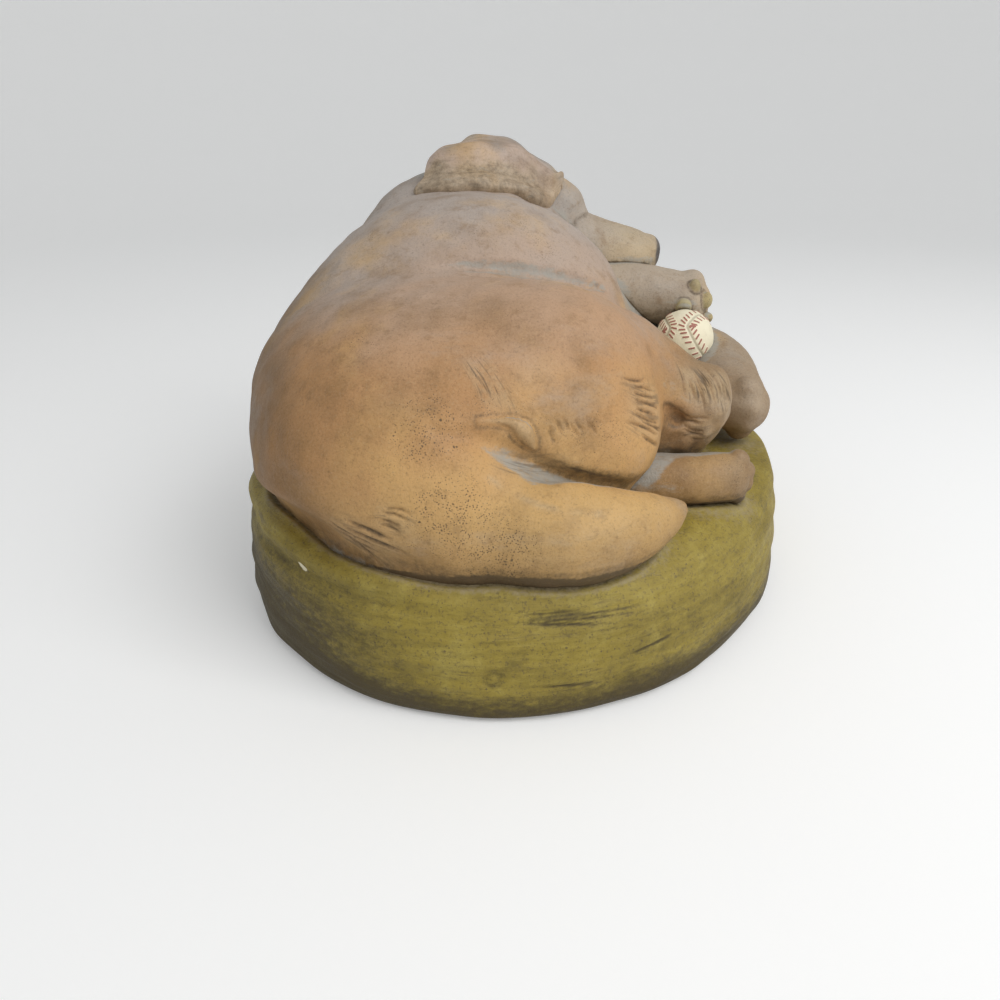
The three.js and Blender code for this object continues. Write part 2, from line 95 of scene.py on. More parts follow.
LEFT_FORE = ((68, 64, 20, 17), (80, 42, 19, 15), (84, 17, 14.5, 10.8))

# The right forepaw turns its sole to the back: pads of the toes and the palm, as centres and half sizes.
PADS = (
    ((71.5, 49.9, 51), (2.2, 1.6, 2.8)), ((76.7, 50.3, 45.7), (2.8, 1.9, 3.5)),
    ((78, 52.5, 38.5), (2.7, 2, 2.4)), ((67.2, 47.1, 43.7), (2.9, 1.7, 2.9)),
)

# Head, in its own frame: X along the muzzle, Y to its left, Z to the crown.
HEAD_PLACE = np.array([-4.0, 77.0, 75.5])
HEAD_NOD = math.radians(9)
SKULL = ((-1, 0, -1), (28, 26, 26))
MUZZLE = ((18, 6, -6.5, 14.5), (40, 5, -8, 11.6), (55, 4, -9, 10.4))
JAW = ((8, 0, -16, 12), (50, 0, -15, 7))
BROW = ((22, 9, 8), (10, 8, 8))
CHEEK = ((8, 15, -8), (18, 10, 14))
NOSE = ((62.8, 0, -5.6), (5, 8.5, 7))
LID = ((31, -9, 2), (28.5, -12.5, -0.5), (25, -15.5, -1), (20.5, -18, 1.5))
MOUTH = ((63, -1.5, -16.5), (53, -9, -18), (40, -13, -18), (28, -17, -17), (19, -20, -12))
NOSTRIL = (66.6, -4.2, -4.4)
LIP_GROOVE = ((67.4, 0, -7), (66, 0, -11.5), (63.5, 0, -15))


class Patch(NamedTuple):
    """Fur strokes cut side by side: where they start, the run of one, the direction across them, their
    number, pitch and depth, and the share of fine painted lines."""

    start: tuple
    run: tuple
    across: tuple
    number: int
    pitch: float
    depth: float
    fine: float


# Fur strokes of the body. Those no deeper than the shallow ones are cut without finer faces.
SHALLOW = 0.15
STROKES = (
    Patch((-9.4, -61.2, 51.1), (5.7, -6.2, -8.4), (1, 0.07, 0), 8, 1.05, 0.1, 0.9),
    Patch((13.4, -64.5, 37.7), (2.4, -0.4, -4.4), (0.92, 0.39, -0.07), 6, 2.1, 0.45, 0.4),
    Patch((31.4, -54, 38), (11, 11, -7), (0.14, -0.27, -0.95), 9, 1.8, 0.75, 0.7),
    Patch((-46, -77.2, 12.4), (15, -3.5, -7.3), (0.45, -0.1, 0.88), 5, 2.5, 0.85, 0.6),
    Patch((-34, -80.5, 18), (8.4, -1.5, -2.4), (0.1, 0, 1), 4, 1.8, 0.55, 0.6),
    Patch((57.4, -23.1, 38.4), (4.4, -5.4, -9), (0.95, 0.15, -0.2), 12, 1.4, 0.25, 1),
    Patch((4, -84, 10.5), (22, 5, 0), (0, -0.3, -0.95), 4, 2.4, 0.12, 0.4),
    Patch((-4, -72, 29), (15, 8, -6.5), (0, -0.7, -0.7), 5, 1.2, 0.2, 0.7),
    Patch((53, -27, 23), (8, -2.5, -1.5), (0, -0.3, 1), 5, 1.7, 0.5, 0.7),
)

# The crest of the tail as points, worn and with a painted highlight along it, and the lumps of the hind
# foot and the fields of pinholes as centres and reaches.
CREST = (
    (-6.4, -76.3, 26.8), (-1.4, -76.5, 23), (6.1, -78.5, 20.3), (14.9, -79.2, 18.7), (21.4, -77.8, 17.7),
)
FOOT_LUMPS = ((57, -27, 25), 12)
PINHOLES = (((-15, -82, 18), 14), ((-21, -74, 39), 12), ((-4, -83, 7), 14))

# Marks on the mound's side, in its own frame: scratches, a round scar and a chip.
# Each scratch runs from a bearing in degrees and a height to another.
SCRATCHES = (
    (-92, 31, -71, 29), (-92, 30.5, -71.5, 27.6), (-92, 30, -77, 26.6), (-91, 29.6, -83, 27.8),
    (-91.5, 31.6, -81, 30.8), (-75, 17, -66, 19), (-88, 12, -80, 11),
)
SCAR = (-9.1, -109.5, 14.8)
CHIP = (-63.2, -85.3, 34.3)
CHIP_RUN = (0.77, -0.57, -0.3)

# Ears, in the head's frame: the root and the free edge from back to front, the bow between them, how far
# the left ear's free edge hangs off the mirrored place, and the rough place and half sizes of an ear in
# the shade.
EAR_ROOT = ((-23, -9, 18), (-15, -5, 23), (-4, -2, 25), (8, -4, 21), (15, -8, 18), (22, -14, 12))
EAR_FREE = (
    (-31, -34.9, 4.6), (-21, -37.9, 7.3), (-8.6, -37.3, 9.4), (4, -31.3, 10),
    (11.8, -30.1, 7.7), (17.1, -25.2, 6.8), (21, -17.7, 12.9),
)
EAR_BOW = 8
EAR_HANG = (0, 3.5, -9)
EAR_SHADE = ((-8, -17, 19), (25, 9, 5))
EAR_ROWS, EAR_COLUMNS = 72, 72
EAR_STEPS = 200

# Mound: heights of its foot and top, the rise of its rim at the left, and knots of inset and height up
# its side, where the shoulder is sharp and where it is round.
MOUND_FOOT = 0.8
MOUND_TOP = 38.8
RIM_RISE = 3.2
SHARP_SIDE = (
    (20, 0), (2.6, 0), (1.2, 0.4), (0.5, 1.6), (0.15, 4), (0, 9), (0.1, 16), (0.7, 24), (1.7, 31),
    (2.3, 34.5), (3.4, 36.8), (5, 37.7), (7.5, 38), (24, 38), (46, 38),
)
ROUND_SIDE = (
    (20, 0), (2.6, 0), (1.2, 0.4), (0.5, 1.6), (0.15, 4), (0, 9), (0.6, 15), (2.2, 21), (5, 26.5),
    (8.5, 31), (12, 34.2), (15.5, 36.4), (19, 37.6), (24, 38), (46, 38),
)

# Bearings on the mound: the round shoulder, the middle of the rise, the left side laid in painted shade,
# and the right side in lighter painted shade.
SHOULDER_BEARING = math.radians(-62)
RISE_BEARING = math.radians(213)
SHADE_BEARING = math.radians(195)
HALF_SHADE_BEARING = math.radians(-45)

# Ball: its centre on the dog and its radius, the turn of its seam about X, Y and Z, how far the seam
# keeps from the poles and weaves, and the stitches on each side of it.
BALL_CENTRE = np.array([67.0, 40.0, 33.0])
BALL_RADIUS = 11
BALL_TILT = (math.radians(53.5), math.radians(-10.9), math.radians(-23.3))
SEAM_SWING = 0.3
STITCHES = 60

# Camera: its place in metres, its angle below level, and its focal length and sensor width in
# millimetres.
EYE = np.array([-0.0073, -0.265, 0.143])
EYE_DROP = math.radians(26)
LENS = 27.0
SENSOR = 36

# Boxes that hold the body and the head. The body's starts a little off a round number, because there no
# face of its grid has corners inside and outside by turns.
BODY_BOX = ((-92, -92.3, -6), (80, 106, 100))
HEAD_BOX = ((-38, 46, 34), (72, 108, 108))

# Nodes along the side of a block of a surface grid, the step over which a slope is measured, the most
# that a drawn line is slid onto a form, and the sine waves in an uneven swelling.
BLOCK = 4
SLOPE_STEP = 0.02
LINE_SLIDE = 6
WAVE_COUNT = 9


def linear(code):
    """A colour written as red, green and blue from 0 to 255 in one hexadecimal number, as linear
    light."""
    shares = np.array([(code >> shift & 255) / 255 for shift in (16, 8, 0)])
    return np.where(shares <= 0.04045, shares / 12.92, ((shares + 0.055) / 1.055) ** 2.4)


def colour(name, description, code):
    """A colour that a user can change."""
    return bpy.props.FloatVectorProperty(
        name=name, description=description, subtype="COLOR", size=3, min=0, max=1, default=linear(code),
    )


def length(name, description, millimetres):
    """A length that a user can change."""
    return bpy.props.FloatProperty(
        name=name, description=description, unit="LENGTH", subtype="DISTANCE", default=millimetres * MM,
    )


class FigurineSizes(bpy.types.PropertyGroup):
    """Sizes of the figurine."""

    coat_cell: length("Coat detail", "Size of a face on the dog's body", 1.25)
    face_cell: length("Face detail", "Size of a face on the dog's head and paws", 0.65)
    ear_thickness: length("Ear thickness", "Thickness of an ear in its middle", 7)
    ball_diameter: length("Ball", "Diameter of the ball", 2 * BALL_RADIUS)
    mound_width: length("Mound width", "Short axis of the mound's oval", 190)
    mound_depth: length("Mound depth", "Long axis of the mound's oval", 222)
    mound_turn: bpy.props.FloatProperty(
        name="Mound turn", description="Turn of the oval about the vertical", subtype="ANGLE",
        default=math.radians(-15),
    )


class FigurineColours(bpy.types.PropertyGroup):
    """Paints of the figurine."""

    ochre: colour("Ochre", "Main paint of the dog's coat", 0xBE8E5C)
    honey: colour("Honey", "Brighter paint on the tail and the thigh", 0xE3B875)
    fawn: colour("Fawn", "Pale paint of the muzzle, the forelegs and worn edges", 0xC4AE8B)
    # Umber is also laid as painted shade low on the coat and at its left.
    umber: colour("Umber", "Darker paint low on the coat", 0x87663F)
    ash: colour("Ash", "Grey wash over the ribs, the neck and the back", 0xADA69F)
    rose: colour("Rose", "Pinkish paint of the ears and the back", 0xC4AFA0)
    # Grime is both the dark wash of the creases and the painted shade that darkens creases, grooves and
    # hollows.
    grime: colour("Grime", "Dark wash left in the creases", 0x574834)
    dust: colour("Dust", "Pale dust settled in the creases", 0xA8A59C)
    slate: colour("Slate", "Paint of the nose", 0x45484C)
    pads: colour("Pads", "Paint of the paw pads", 0xB7AC77)
    olive: colour("Olive", "Main paint of the mound", 0x9E8A35)
    moss: colour("Moss", "Darker streaks on the mound", 0x6A5C28)
    straw: colour("Straw", "Paler patches on the mound", 0xB6A452)
    # Peat darkens the mound low down and is also painted shade against the dog and on its left and right
    # sides.
    peat: colour("Peat", "Dark wash on the mound", 0x463A1E)
    silt: colour("Silt", "Brown dust on the mound", 0xA09172)
    cream: colour("Cream", "Paint of the ball", 0xF8EFD2)
    thread: colour("Thread", "Paint of the ball's stitches", 0xA5564A)
    felt: colour("Felt", "Felt of the pad", 0x2F3328)


# Forms. A form gives each point its depth: how far it is from the surface, roughly, negative inside and
# positive outside.


def ellipsoid(centre, radii):
    """With q the offset from the centre over the radii, the depth is |q| (|q| - 1) / |q / radii|."""
    centre, radii = np.array(centre, float), np.array(radii, float)

    def depth(points):
        share = (points - centre) / radii
        near = np.linalg.norm(share, axis=1)
        slope = np.linalg.norm(share / radii, axis=1)
        return np.where(slope > 1e-9, near * (near - 1) / np.maximum(slope, 1e-9), -radii.min())

    return depth


def smooth_path(stations, steps):
    """A cubic curve through all stations, radii and all. Each span's end slopes weigh its neighbours by
    the square roots of their lengths."""
    stations = np.array(stations, float)
    spots = np.vstack([2 * stations[0] - stations[1], stations, 2 * stations[-1] - stations[-2]])
    along = np.linspace(0, len(stations) - 1, steps + 1)
    span = np.minimum(along.astype(int), len(stations) - 2)
    share = (along - span)[:, None]
    p0, p1, p2, p3 = (spots[span + k] for k in range(4))
    gap0, gap1, gap2 = (
        np.sqrt(np.linalg.norm((b - a)[:, :3], axis=1))[:, None] for a, b in ((p0, p1), (p1, p2), (p2, p3))
    )
    leave = ((p1 - p0) / gap0 - (p2 - p0) / (gap0 + gap1) + (p2 - p1) / gap1) * gap1
    arrive = ((p2 - p1) / gap1 - (p3 - p1) / (gap1 + gap2) + (p3 - p2) / gap2) * gap1
    bend = 2 * p1 - 2 * p2 + leave + arrive
    start = -3 * p1 + 3 * p2 - 2 * leave - arrive
    return p1 + share * (leave + share * (start + share * bend))


def limb(stations, steps=14):
    """A round section carried along a smooth path: the distance to each straight piece of the path less
    the radius there, and the least of these."""
    path = smooth_path(stations, steps)

    def depth(points):
        nearest = np.full(len(points), np.inf)
        for start, end in zip(path[:-1], path[1:]):
            run = end[:3] - start[:3]
            share = np.clip((points - start[:3]) @ run / (run @ run), 0, 1)
            away = np.linalg.norm(points - start[:3] - share[:, None] * run, axis=1)
            nearest = np.minimum(nearest, away - start[3] - share * (end[3] - start[3]))
        return nearest

    return depth


def blend(width, *forms):
    """Forms joined with a fillet: where two depths differ by less than the width, the lesser one less a
    quarter of the width times the square of what is left of it. The width may be a function of place."""

    def depth(points):
        wide = width(points) if callable(width) else width
        joined = forms[0](points)
        for form in forms[1:]:
            other = form(points)
            near = np.maximum(wide - np.abs(joined - other), 0) / wide
            joined = np.minimum(joined, other) - near * near * wide / 4
        return joined

    return depth


def carve(width, form, cutter):
    """A form less another, with the edge rounded over by a width: the blend of the cutter with the form
    turned inside out, turned back."""
    return lambda points: -blend(width, lambda p: -form(p), cutter)(points)


def placed(form, place, nod):
    """A form in a frame that is turned about Y by an angle and moved to a place."""
    turn = nod_matrix(nod)
    return lambda points: form((points - place) @ turn)


def nod_matrix(nod):
    """The turn about Y that takes the head's frame to the dog's."""
    c, s = math.cos(nod), math.sin(nod)
    return np.array([[c, 0, s], [0, 1, 0], [-s, 0, c]])


def mirrored(places):
    """Centres, stations or points and the same on the other side."""
    flipped = np.array(places, float)
    flipped[..., 1] *= -1
    return np.array(places, float), flipped


def slope_of(form, points):
    """The direction in which the depth grows: its change over a small step along each axis."""
    here = form(points)
    steps = [form(points + SLOPE_STEP * np.eye(3)[axis]) - here for axis in range(3)]
    return np.stack(steps, axis=1) / SLOPE_STEP, here


def onto(form, points, limit):
    """Points slid along the slope onto the surface, each way by no more than a limit, and the slope
    there."""
    slope, depth = slope_of(form, points)
    steep = np.maximum((slope * slope).sum(1), 1e-6)
    moved = points - slope * (depth / steep)[:, None]
    moved -= slope * (form(moved) / steep)[:, None]
    moved = np.clip(moved, points - limit, points + limit)
    return moved, slope / np.sqrt(steep)[:, None]


def grid_depths(form, low, count, cell):
    """Depths at the nodes of a grid. A block of nodes far from the surface takes the depth of its middle,
    because only the sign matters there."""
    blocks = np.stack(np.meshgrid(*[np.arange(n) for n in count // BLOCK], indexing="ij"), axis=-1)
    middles = low + (blocks.reshape(-1, 3) * BLOCK + (BLOCK - 1) / 2) * cell
    field = form(middles).reshape(count // BLOCK)
    for axis in range(3):
        field = field.repeat(BLOCK, axis)
    reach = 1.6 * BLOCK * cell
    near = np.argwhere(np.abs(field) < reach)
    field[tuple(near.T)] = form(low + near * cell)
    return field


def skin(form, low, high, cell):
    """The surface of a form as closed quads. Each grid cell that the surface passes through holds one
    vertex, at the mean of the places where the surface crosses the cell's edges, slid onto the surface.
    Each grid edge that the surface crosses gives one face, of the four cells round it. A depth too near
    zero is moved off it, so that no face shrinks to a point. Returns vertices, faces and slopes."""
    low = np.array(low, float) - 2 * cell
    count = np.ceil((np.array(high) + 2 * cell - low) / cell / BLOCK).astype(int) * BLOCK
    field = grid_depths(form, low, count, cell)
    inside = field < 0
    least = cell / 20
    field = np.where(np.abs(field) < least, np.where(inside, -least, least), field)
    held = sum(
        inside[i:count[0] - 1 + i, j:count[1] - 1 + j, k:count[2] - 1 + k].astype(np.int8)
        for i in (0, 1) for j in (0, 1) for k in (0, 1)
    )
    cells = np.argwhere((held > 0) & (held < 8))
    number = np.full(count - 1, -1)
    number[tuple(cells.T)] = np.arange(len(cells))
    total = np.zeros((len(cells), 3))
    crossings = np.zeros((len(cells), 1))
    for axis in range(3):
        for second in (0, 1):
            for third in (0, 1):
                start = cells.copy()
                start[:, (axis + 1) % 3] += second
                start[:, (axis + 2) % 3] += third
                end = start + np.eye(3, dtype=int)[axis]
                here, there = field[tuple(start.T)], field[tuple(end.T)]
                crossed = (here < 0) != (there < 0)
                spot = start.astype(float)
                spot[:, axis] += here / np.where(crossed, here - there, 1)
                total += spot * crossed[:, None]
                crossings += crossed[:, None]
    points, slopes = onto(form, low + cell * total / crossings, cell / 2)
    faces = []
    for axis in range(3):
        near = np.take(inside, range(count[axis] - 1), axis)
        far = np.take(inside, range(1, count[axis]), axis)
        edges = np.argwhere(near != far)
        ring = []
        for second, third in ((-1, -1), (0, -1), (0, 0), (-1, 0)):
            beside = edges.copy()
            beside[:, (axis + 1) % 3] += second
            beside[:, (axis + 2) % 3] += third
            ring.append(number[tuple(beside.T)])
        quads = np.stack(ring, axis=1)
        turned = ~inside[tuple(edges.T)]
        quads[turned] = quads[turned][:, ::-1]
        faces.append(quads)
    return points, np.concatenate(faces).tolist(), slopes


def finer(points, faces, wanted):
    """Splits each wanted quad into sixteen. The quads beside them take the new places on their shared
    edges as corners of their own, so that the skin stays closed."""
    faces = np.array(faces)
    ends = np.sort(np.stack([faces, np.roll(faces, -1, axis=1)], axis=-1), axis=-1)
    keys, edge = np.unique(ends[..., 0] * len(points) + ends[..., 1], return_inverse=True)
    edge = edge.reshape(faces.shape)
    split = np.unique(edge[wanted])
    rank = np.full(len(keys), -1)
    rank[split] = np.arange(len(split))
    first, last = points[keys[split] // len(points)], points[keys[split] % len(points)]
    share = np.array([0.25, 0.5, 0.75])[:, None]
    on_edges = first[:, None] + share * (last - first)[:, None]
    back = faces > np.roll(faces, -1, axis=1)
    extra = len(points) + 3 * rank[edge][..., None] + np.where(back[..., None], [2, 1, 0], [0, 1, 2])
    quads, beside = faces[wanted], extra[wanted]
    grid = np.zeros((len(quads), 5, 5), int)
    grid[:, [0, 0, 4, 4], [0, 4, 4, 0]] = quads
    grid[:, 0, 1:4], grid[:, 1:4, 4] = beside[:, 0], beside[:, 1]
    grid[:, 4, 1:4], grid[:, 1:4, 0] = beside[:, 2][:, ::-1], beside[:, 3][:, ::-1]
    inner = len(points) + 3 * len(split) + np.arange(9 * len(quads)).reshape(-1, 3, 3)
    grid[:, 1:4, 1:4] = inner
    top = points[quads[:, 0], None] + share * (points[quads[:, 1]] - points[quads[:, 0]])[:, None]
    bottom = points[quads[:, 3], None] + share * (points[quads[:, 2]] - points[quads[:, 3]])[:, None]
    middles = top[:, None] + share[:, None] * (bottom - top)[:, None]
    small = np.stack([grid[:, :-1, :-1], grid[:, :-1, 1:], grid[:, 1:, 1:], grid[:, 1:, :-1]], axis=-1)
    bordering = ~wanted & (rank[edge] >= 0).any(axis=1)
    border = []
    for face, more, held in zip(faces[bordering], extra[bordering], rank[edge][bordering]):
        spots = [(face[corner], *(more[corner] if held[corner] >= 0 else ())) for corner in range(4)]
        border.append([spot for corner_spots in spots for spot in corner_spots])
    kept = faces[~wanted & ~bordering].tolist()
    places = np.vstack([points, on_edges.reshape(-1, 3), middles.reshape(-1, 3)])
    return places, kept + border + small.reshape(-1, 4).tolist()


def ramp(values, low, high):
    """A smooth step from 0 at low to 1 at high: 3 s s - 2 s s s, with s the clipped share between
    them."""
    share = np.clip((values - low) / (high - low), 0, 1)
    return share * share * (3 - 2 * share)


def bell(away, width):
    """1 where the distance is 0, falling off on both sides to 1/e at the width."""
    return np.exp(-(away / width) ** 2)


def waves(points, size, seed):
    """Uneven swelling from about -1 to 1: the sum of sine waves of about one size in random directions,
    over the square root of their count."""
    draw = np.random.default_rng(seed)
    aims = draw.normal(size=(WAVE_COUNT, 3))
    steepness = 2 * math.pi / size / np.linalg.norm(aims, axis=1) * draw.uniform(0.7, 1.4, WAVE_COUNT)
    phases = points @ (aims * steepness[:, None]).T + draw.uniform(0, 2 * math.pi, WAVE_COUNT)
    return np.sin(phases).sum(1) / math.sqrt(WAVE_COUNT)


def round_angles(count):
    """Even angles once round a circle."""
    return np.linspace(0, 2 * math.pi, count, endpoint=False)


def unit(rows):
    """Each row at a length of one."""
    return rows / np.linalg.norm(rows, axis=1)[:, None]


def path_distance(points, path):
    """The distance from points to a broken line, and the share of the line's pieces before the nearest
    place."""
    nearest = np.full(len(points), np.inf)
    along = np.zeros(len(points))
    for index, (start, end) in enumerate(zip(path[:-1], path[1:])):
        run = end - start
        share = np.clip((points - start) @ run / (run @ run), 0, 1)
        away = np.linalg.norm(points - start - share[:, None] * run, axis=1)
        closer = away < nearest
        nearest = np.where(closer, away, nearest)
        along = np.where(closer, (index + share) / (len(path) - 1), along)
    return nearest, along


# The dog's forms.


def leg(stations, reach, fillet):
    """A limb with four toes in a fan across its last station, some share of its radius past it."""
    last, before = np.array(stations[-1], float), np.array(stations[-2], float)
    run = (last - before)[:3]
    run /= np.linalg.norm(run)
    across = np.array([0, 0, 1]) - run * run[2]
    across /= np.linalg.norm(across)
    toe = 0.46 * last[3]
    toes = []
    for place in (-1.5, -0.5, 0.5, 1.5):
        ahead = reach - 0.14 * place * place
        toes.append(ellipsoid(last[:3] + across * toe * place + run * last[3] * ahead, [toe] * 3))
    return blend(fillet, limb(stations, 18), *toes)


def tail_fillet(points):
    """A wide fillet at the tail's root that narrows to a crease under the thigh."""
    return 12 - 9.5 * ramp(points[:, 0], -14, 6)


HAUNCH = blend(14, ellipsoid(*RUMP), ellipsoid(*THIGH), ellipsoid(*KNEE))
FRONT = blend(14, ellipsoid(*RIBS), ellipsoid(*CHEST), ellipsoid(*BELLY), limb(NECK, 6), limb(NAPE, 6))
TRUNK = carve(2.5, blend(18, blend(4, HAUNCH, FRONT), ellipsoid(*LOIN)), limb(FOLD, 8))
HINDQUARTERS = blend(15, TRUNK, leg(RIGHT_HIND, 0.5, 4))
TAILED = carve(4, blend(tail_fillet, HINDQUARTERS, limb(TAIL, 36)), limb(GROOVE, 16))
TUCKED = carve(4, TAILED, limb(TUCK, 18))
BODY = blend(1.2, carve(2.3, TUCKED, limb(HOCK_HOLLOW, 12)), limb(LOCK, 12))
FACE = blend(
    7, ellipsoid(*SKULL),
    *(limb(side) for side in mirrored(MUZZLE)),
    *(ellipsoid(centre, BROW[1]) for centre in mirrored(BROW[0])),
    *(ellipsoid(centre, CHEEK[1]) for centre in mirrored(CHEEK[0])),
)
HEAD_OWN = blend(2, blend(3, FACE, limb(JAW, 2)), ellipsoid(*NOSE))
HEAD = placed(HEAD_OWN, HEAD_PLACE, HEAD_NOD)
RIGHT_PAW = blend(0.7, leg(RIGHT_FORE, 0.5, 2), *(ellipsoid(*pad) for pad in PADS))
LEGS = {
    "left_hind_foot": (leg(LEFT_HIND, 0.85, 0.8), LEFT_HIND),
    "right_foreleg": (RIGHT_PAW, RIGHT_FORE),
    "left_foreleg": (leg(LEFT_FORE, 0.66, 1.5), LEFT_FORE),
}
EAR_SHADES = [
    placed(ellipsoid(centre, EAR_SHADE[1]), HEAD_PLACE, HEAD_NOD) for centre in mirrored(EAR_SHADE[0])
]


def whole_dog(points):
    """The least depth of points over the dog's forms and the ball."""
    ball = ellipsoid(BALL_CENTRE, [BALL_RADIUS] * 3)
    forms = [BODY, HEAD, ball, *EAR_SHADES, *(form for form, _ in LEGS.values())]
    return np.minimum.reduce([form(points) for form in forms])


def on_mound(points):
    """The least depth of points over the dog, the ball and the mound's flat top."""
    return np.minimum(whole_dog(points), points[:, 2])


def shelter(points, slopes, reaches, form=on_mound):
    """How closed in each point is, from 0 to 1: the mean share of the room missing at some reaches
    out."""
    missing = [1 - np.clip(form(points + slopes * reach) / reach, 0, 1) for reach in reaches]
    return np.mean(missing, axis=0)


# Meshes and materials.


def make_piece(name, points, faces, material, nodes, attributes):
    """A smooth mesh object at the origin from points in millimetres, with its attributes, riding on the
    root body."""
    mesh = bpy.data.meshes.new(name)
    mesh.from_pydata(np.asarray(points) * MM, [], faces)
    for label, values in attributes.items():
        values = np.asarray(values, np.float32)
        if values.ndim == 2:
            layer = mesh.attributes.new(label, "FLOAT_COLOR", "POINT")
            layer.data.foreach_set("color", np.hstack([values, np.ones((len(values), 1))]).ravel())
        else:
            layer = mesh.attributes.new(label, "FLOAT", "POINT")
            layer.data.foreach_set("value", values)
    mesh.polygons.foreach_set("use_smooth", np.ones(len(mesh.polygons), bool))
    mesh.update()
    piece = bpy.data.objects.new(name, mesh)
    bpy.context.scene.collection.objects.link(piece)
    mesh.materials.append(material)
    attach(piece, "root")
    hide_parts(*nodes)


class Finish:
    """A node material: each method adds a node or two and returns the output to go on with."""

    def __init__(self, name):
        self.material = bpy.data.materials.new(name)
        self.material.use_nodes = True
        self.tree = self.material.node_tree
        self.shader = self.tree.nodes["Principled BSDF"]
        self.place = self.tree.nodes.new("ShaderNodeTexCoord").outputs["Object"]

    def add(self, kind, inputs, **settings):
        node = self.tree.nodes.new(kind)
        for key, value in settings.items():
            setattr(node, key, value)
        for key, value in inputs.items():
            self.set(node.inputs[key], value)
        return node

    def set(self, socket, value):
        if isinstance(value, bpy.types.NodeSocket):
            self.tree.links.new(value, socket)
        elif socket.type == "RGBA":
            socket.default_value = (*value, 1)
        else:
            socket.default_value = value

    def attribute(self, name, output="Fac"):
        return self.add("ShaderNodeAttribute", {}, attribute_name=name).outputs[output]

    def stretched(self, scale, turn=(0, 0, 0)):
        return self.add(
            "ShaderNodeMapping", {"Vector": self.place, "Scale": scale, "Rotation": turn},
        ).outputs["Vector"]

    def noise(self, scale, detail=4, roughness=0.55, vector=None):
        inputs = {"Vector": vector or self.place, "Scale": scale, "Detail": detail, "Roughness": roughness}
        return self.add("ShaderNodeTexNoise", inputs).outputs["Fac"]

    def cells(self, scale):
        inputs = {"Vector": self.place, "Scale": scale}
        return self.add("ShaderNodeTexVoronoi", inputs).outputs["Distance"]

    def span(self, value, low, high, to_low=0, to_high=1):
        inputs = {"Value": value, "From Min": low, "From Max": high, "To Min": to_low, "To Max": to_high}
        return self.add("ShaderNodeMapRange", inputs, interpolation_type="SMOOTHSTEP").outputs["Result"]

    def math(self, operation, first, second):
        node = self.tree.nodes.new("ShaderNodeMath")
        node.operation = operation
        self.set(node.inputs[0], first)
        self.set(node.inputs[1], second)
        return node.outputs[0]

    def mix(self, share, first, second):
        node = self.tree.nodes.new("ShaderNodeMix")
        node.data_type = "RGBA"
        self.set(node.inputs["Factor"], share)
        self.set(node.inputs[6], first)
        self.set(node.inputs[7], second)
        return node.outputs[2]

    def wash(self, base, field, low, high, share, over):
        """A colour over the base, from none where the field is low to a share where it is high."""
        return self.mix(self.span(field, low, high, 0, share), base, over)

    def tint(self, base, mask, share, over):
        """A colour over the base by a share of a mask."""
        return self.mix(self.math("MULTIPLY", mask, share), base, over)

    def bump(self, height, strength, distance, before=None):
        inputs = {"Height": height, "Strength": strength, "Distance": distance}
        if before is not None:
            inputs["Normal"] = before
        return self.add("ShaderNodeBump", inputs).outputs["Normal"]

    def finish(self, base, roughness, normal):
        self.set(self.shader.inputs["Base Color"], base)
        self.set(self.shader.inputs["Roughness"], roughness)
        self.set(self.shader.inputs["Normal"], normal)
        return self.material


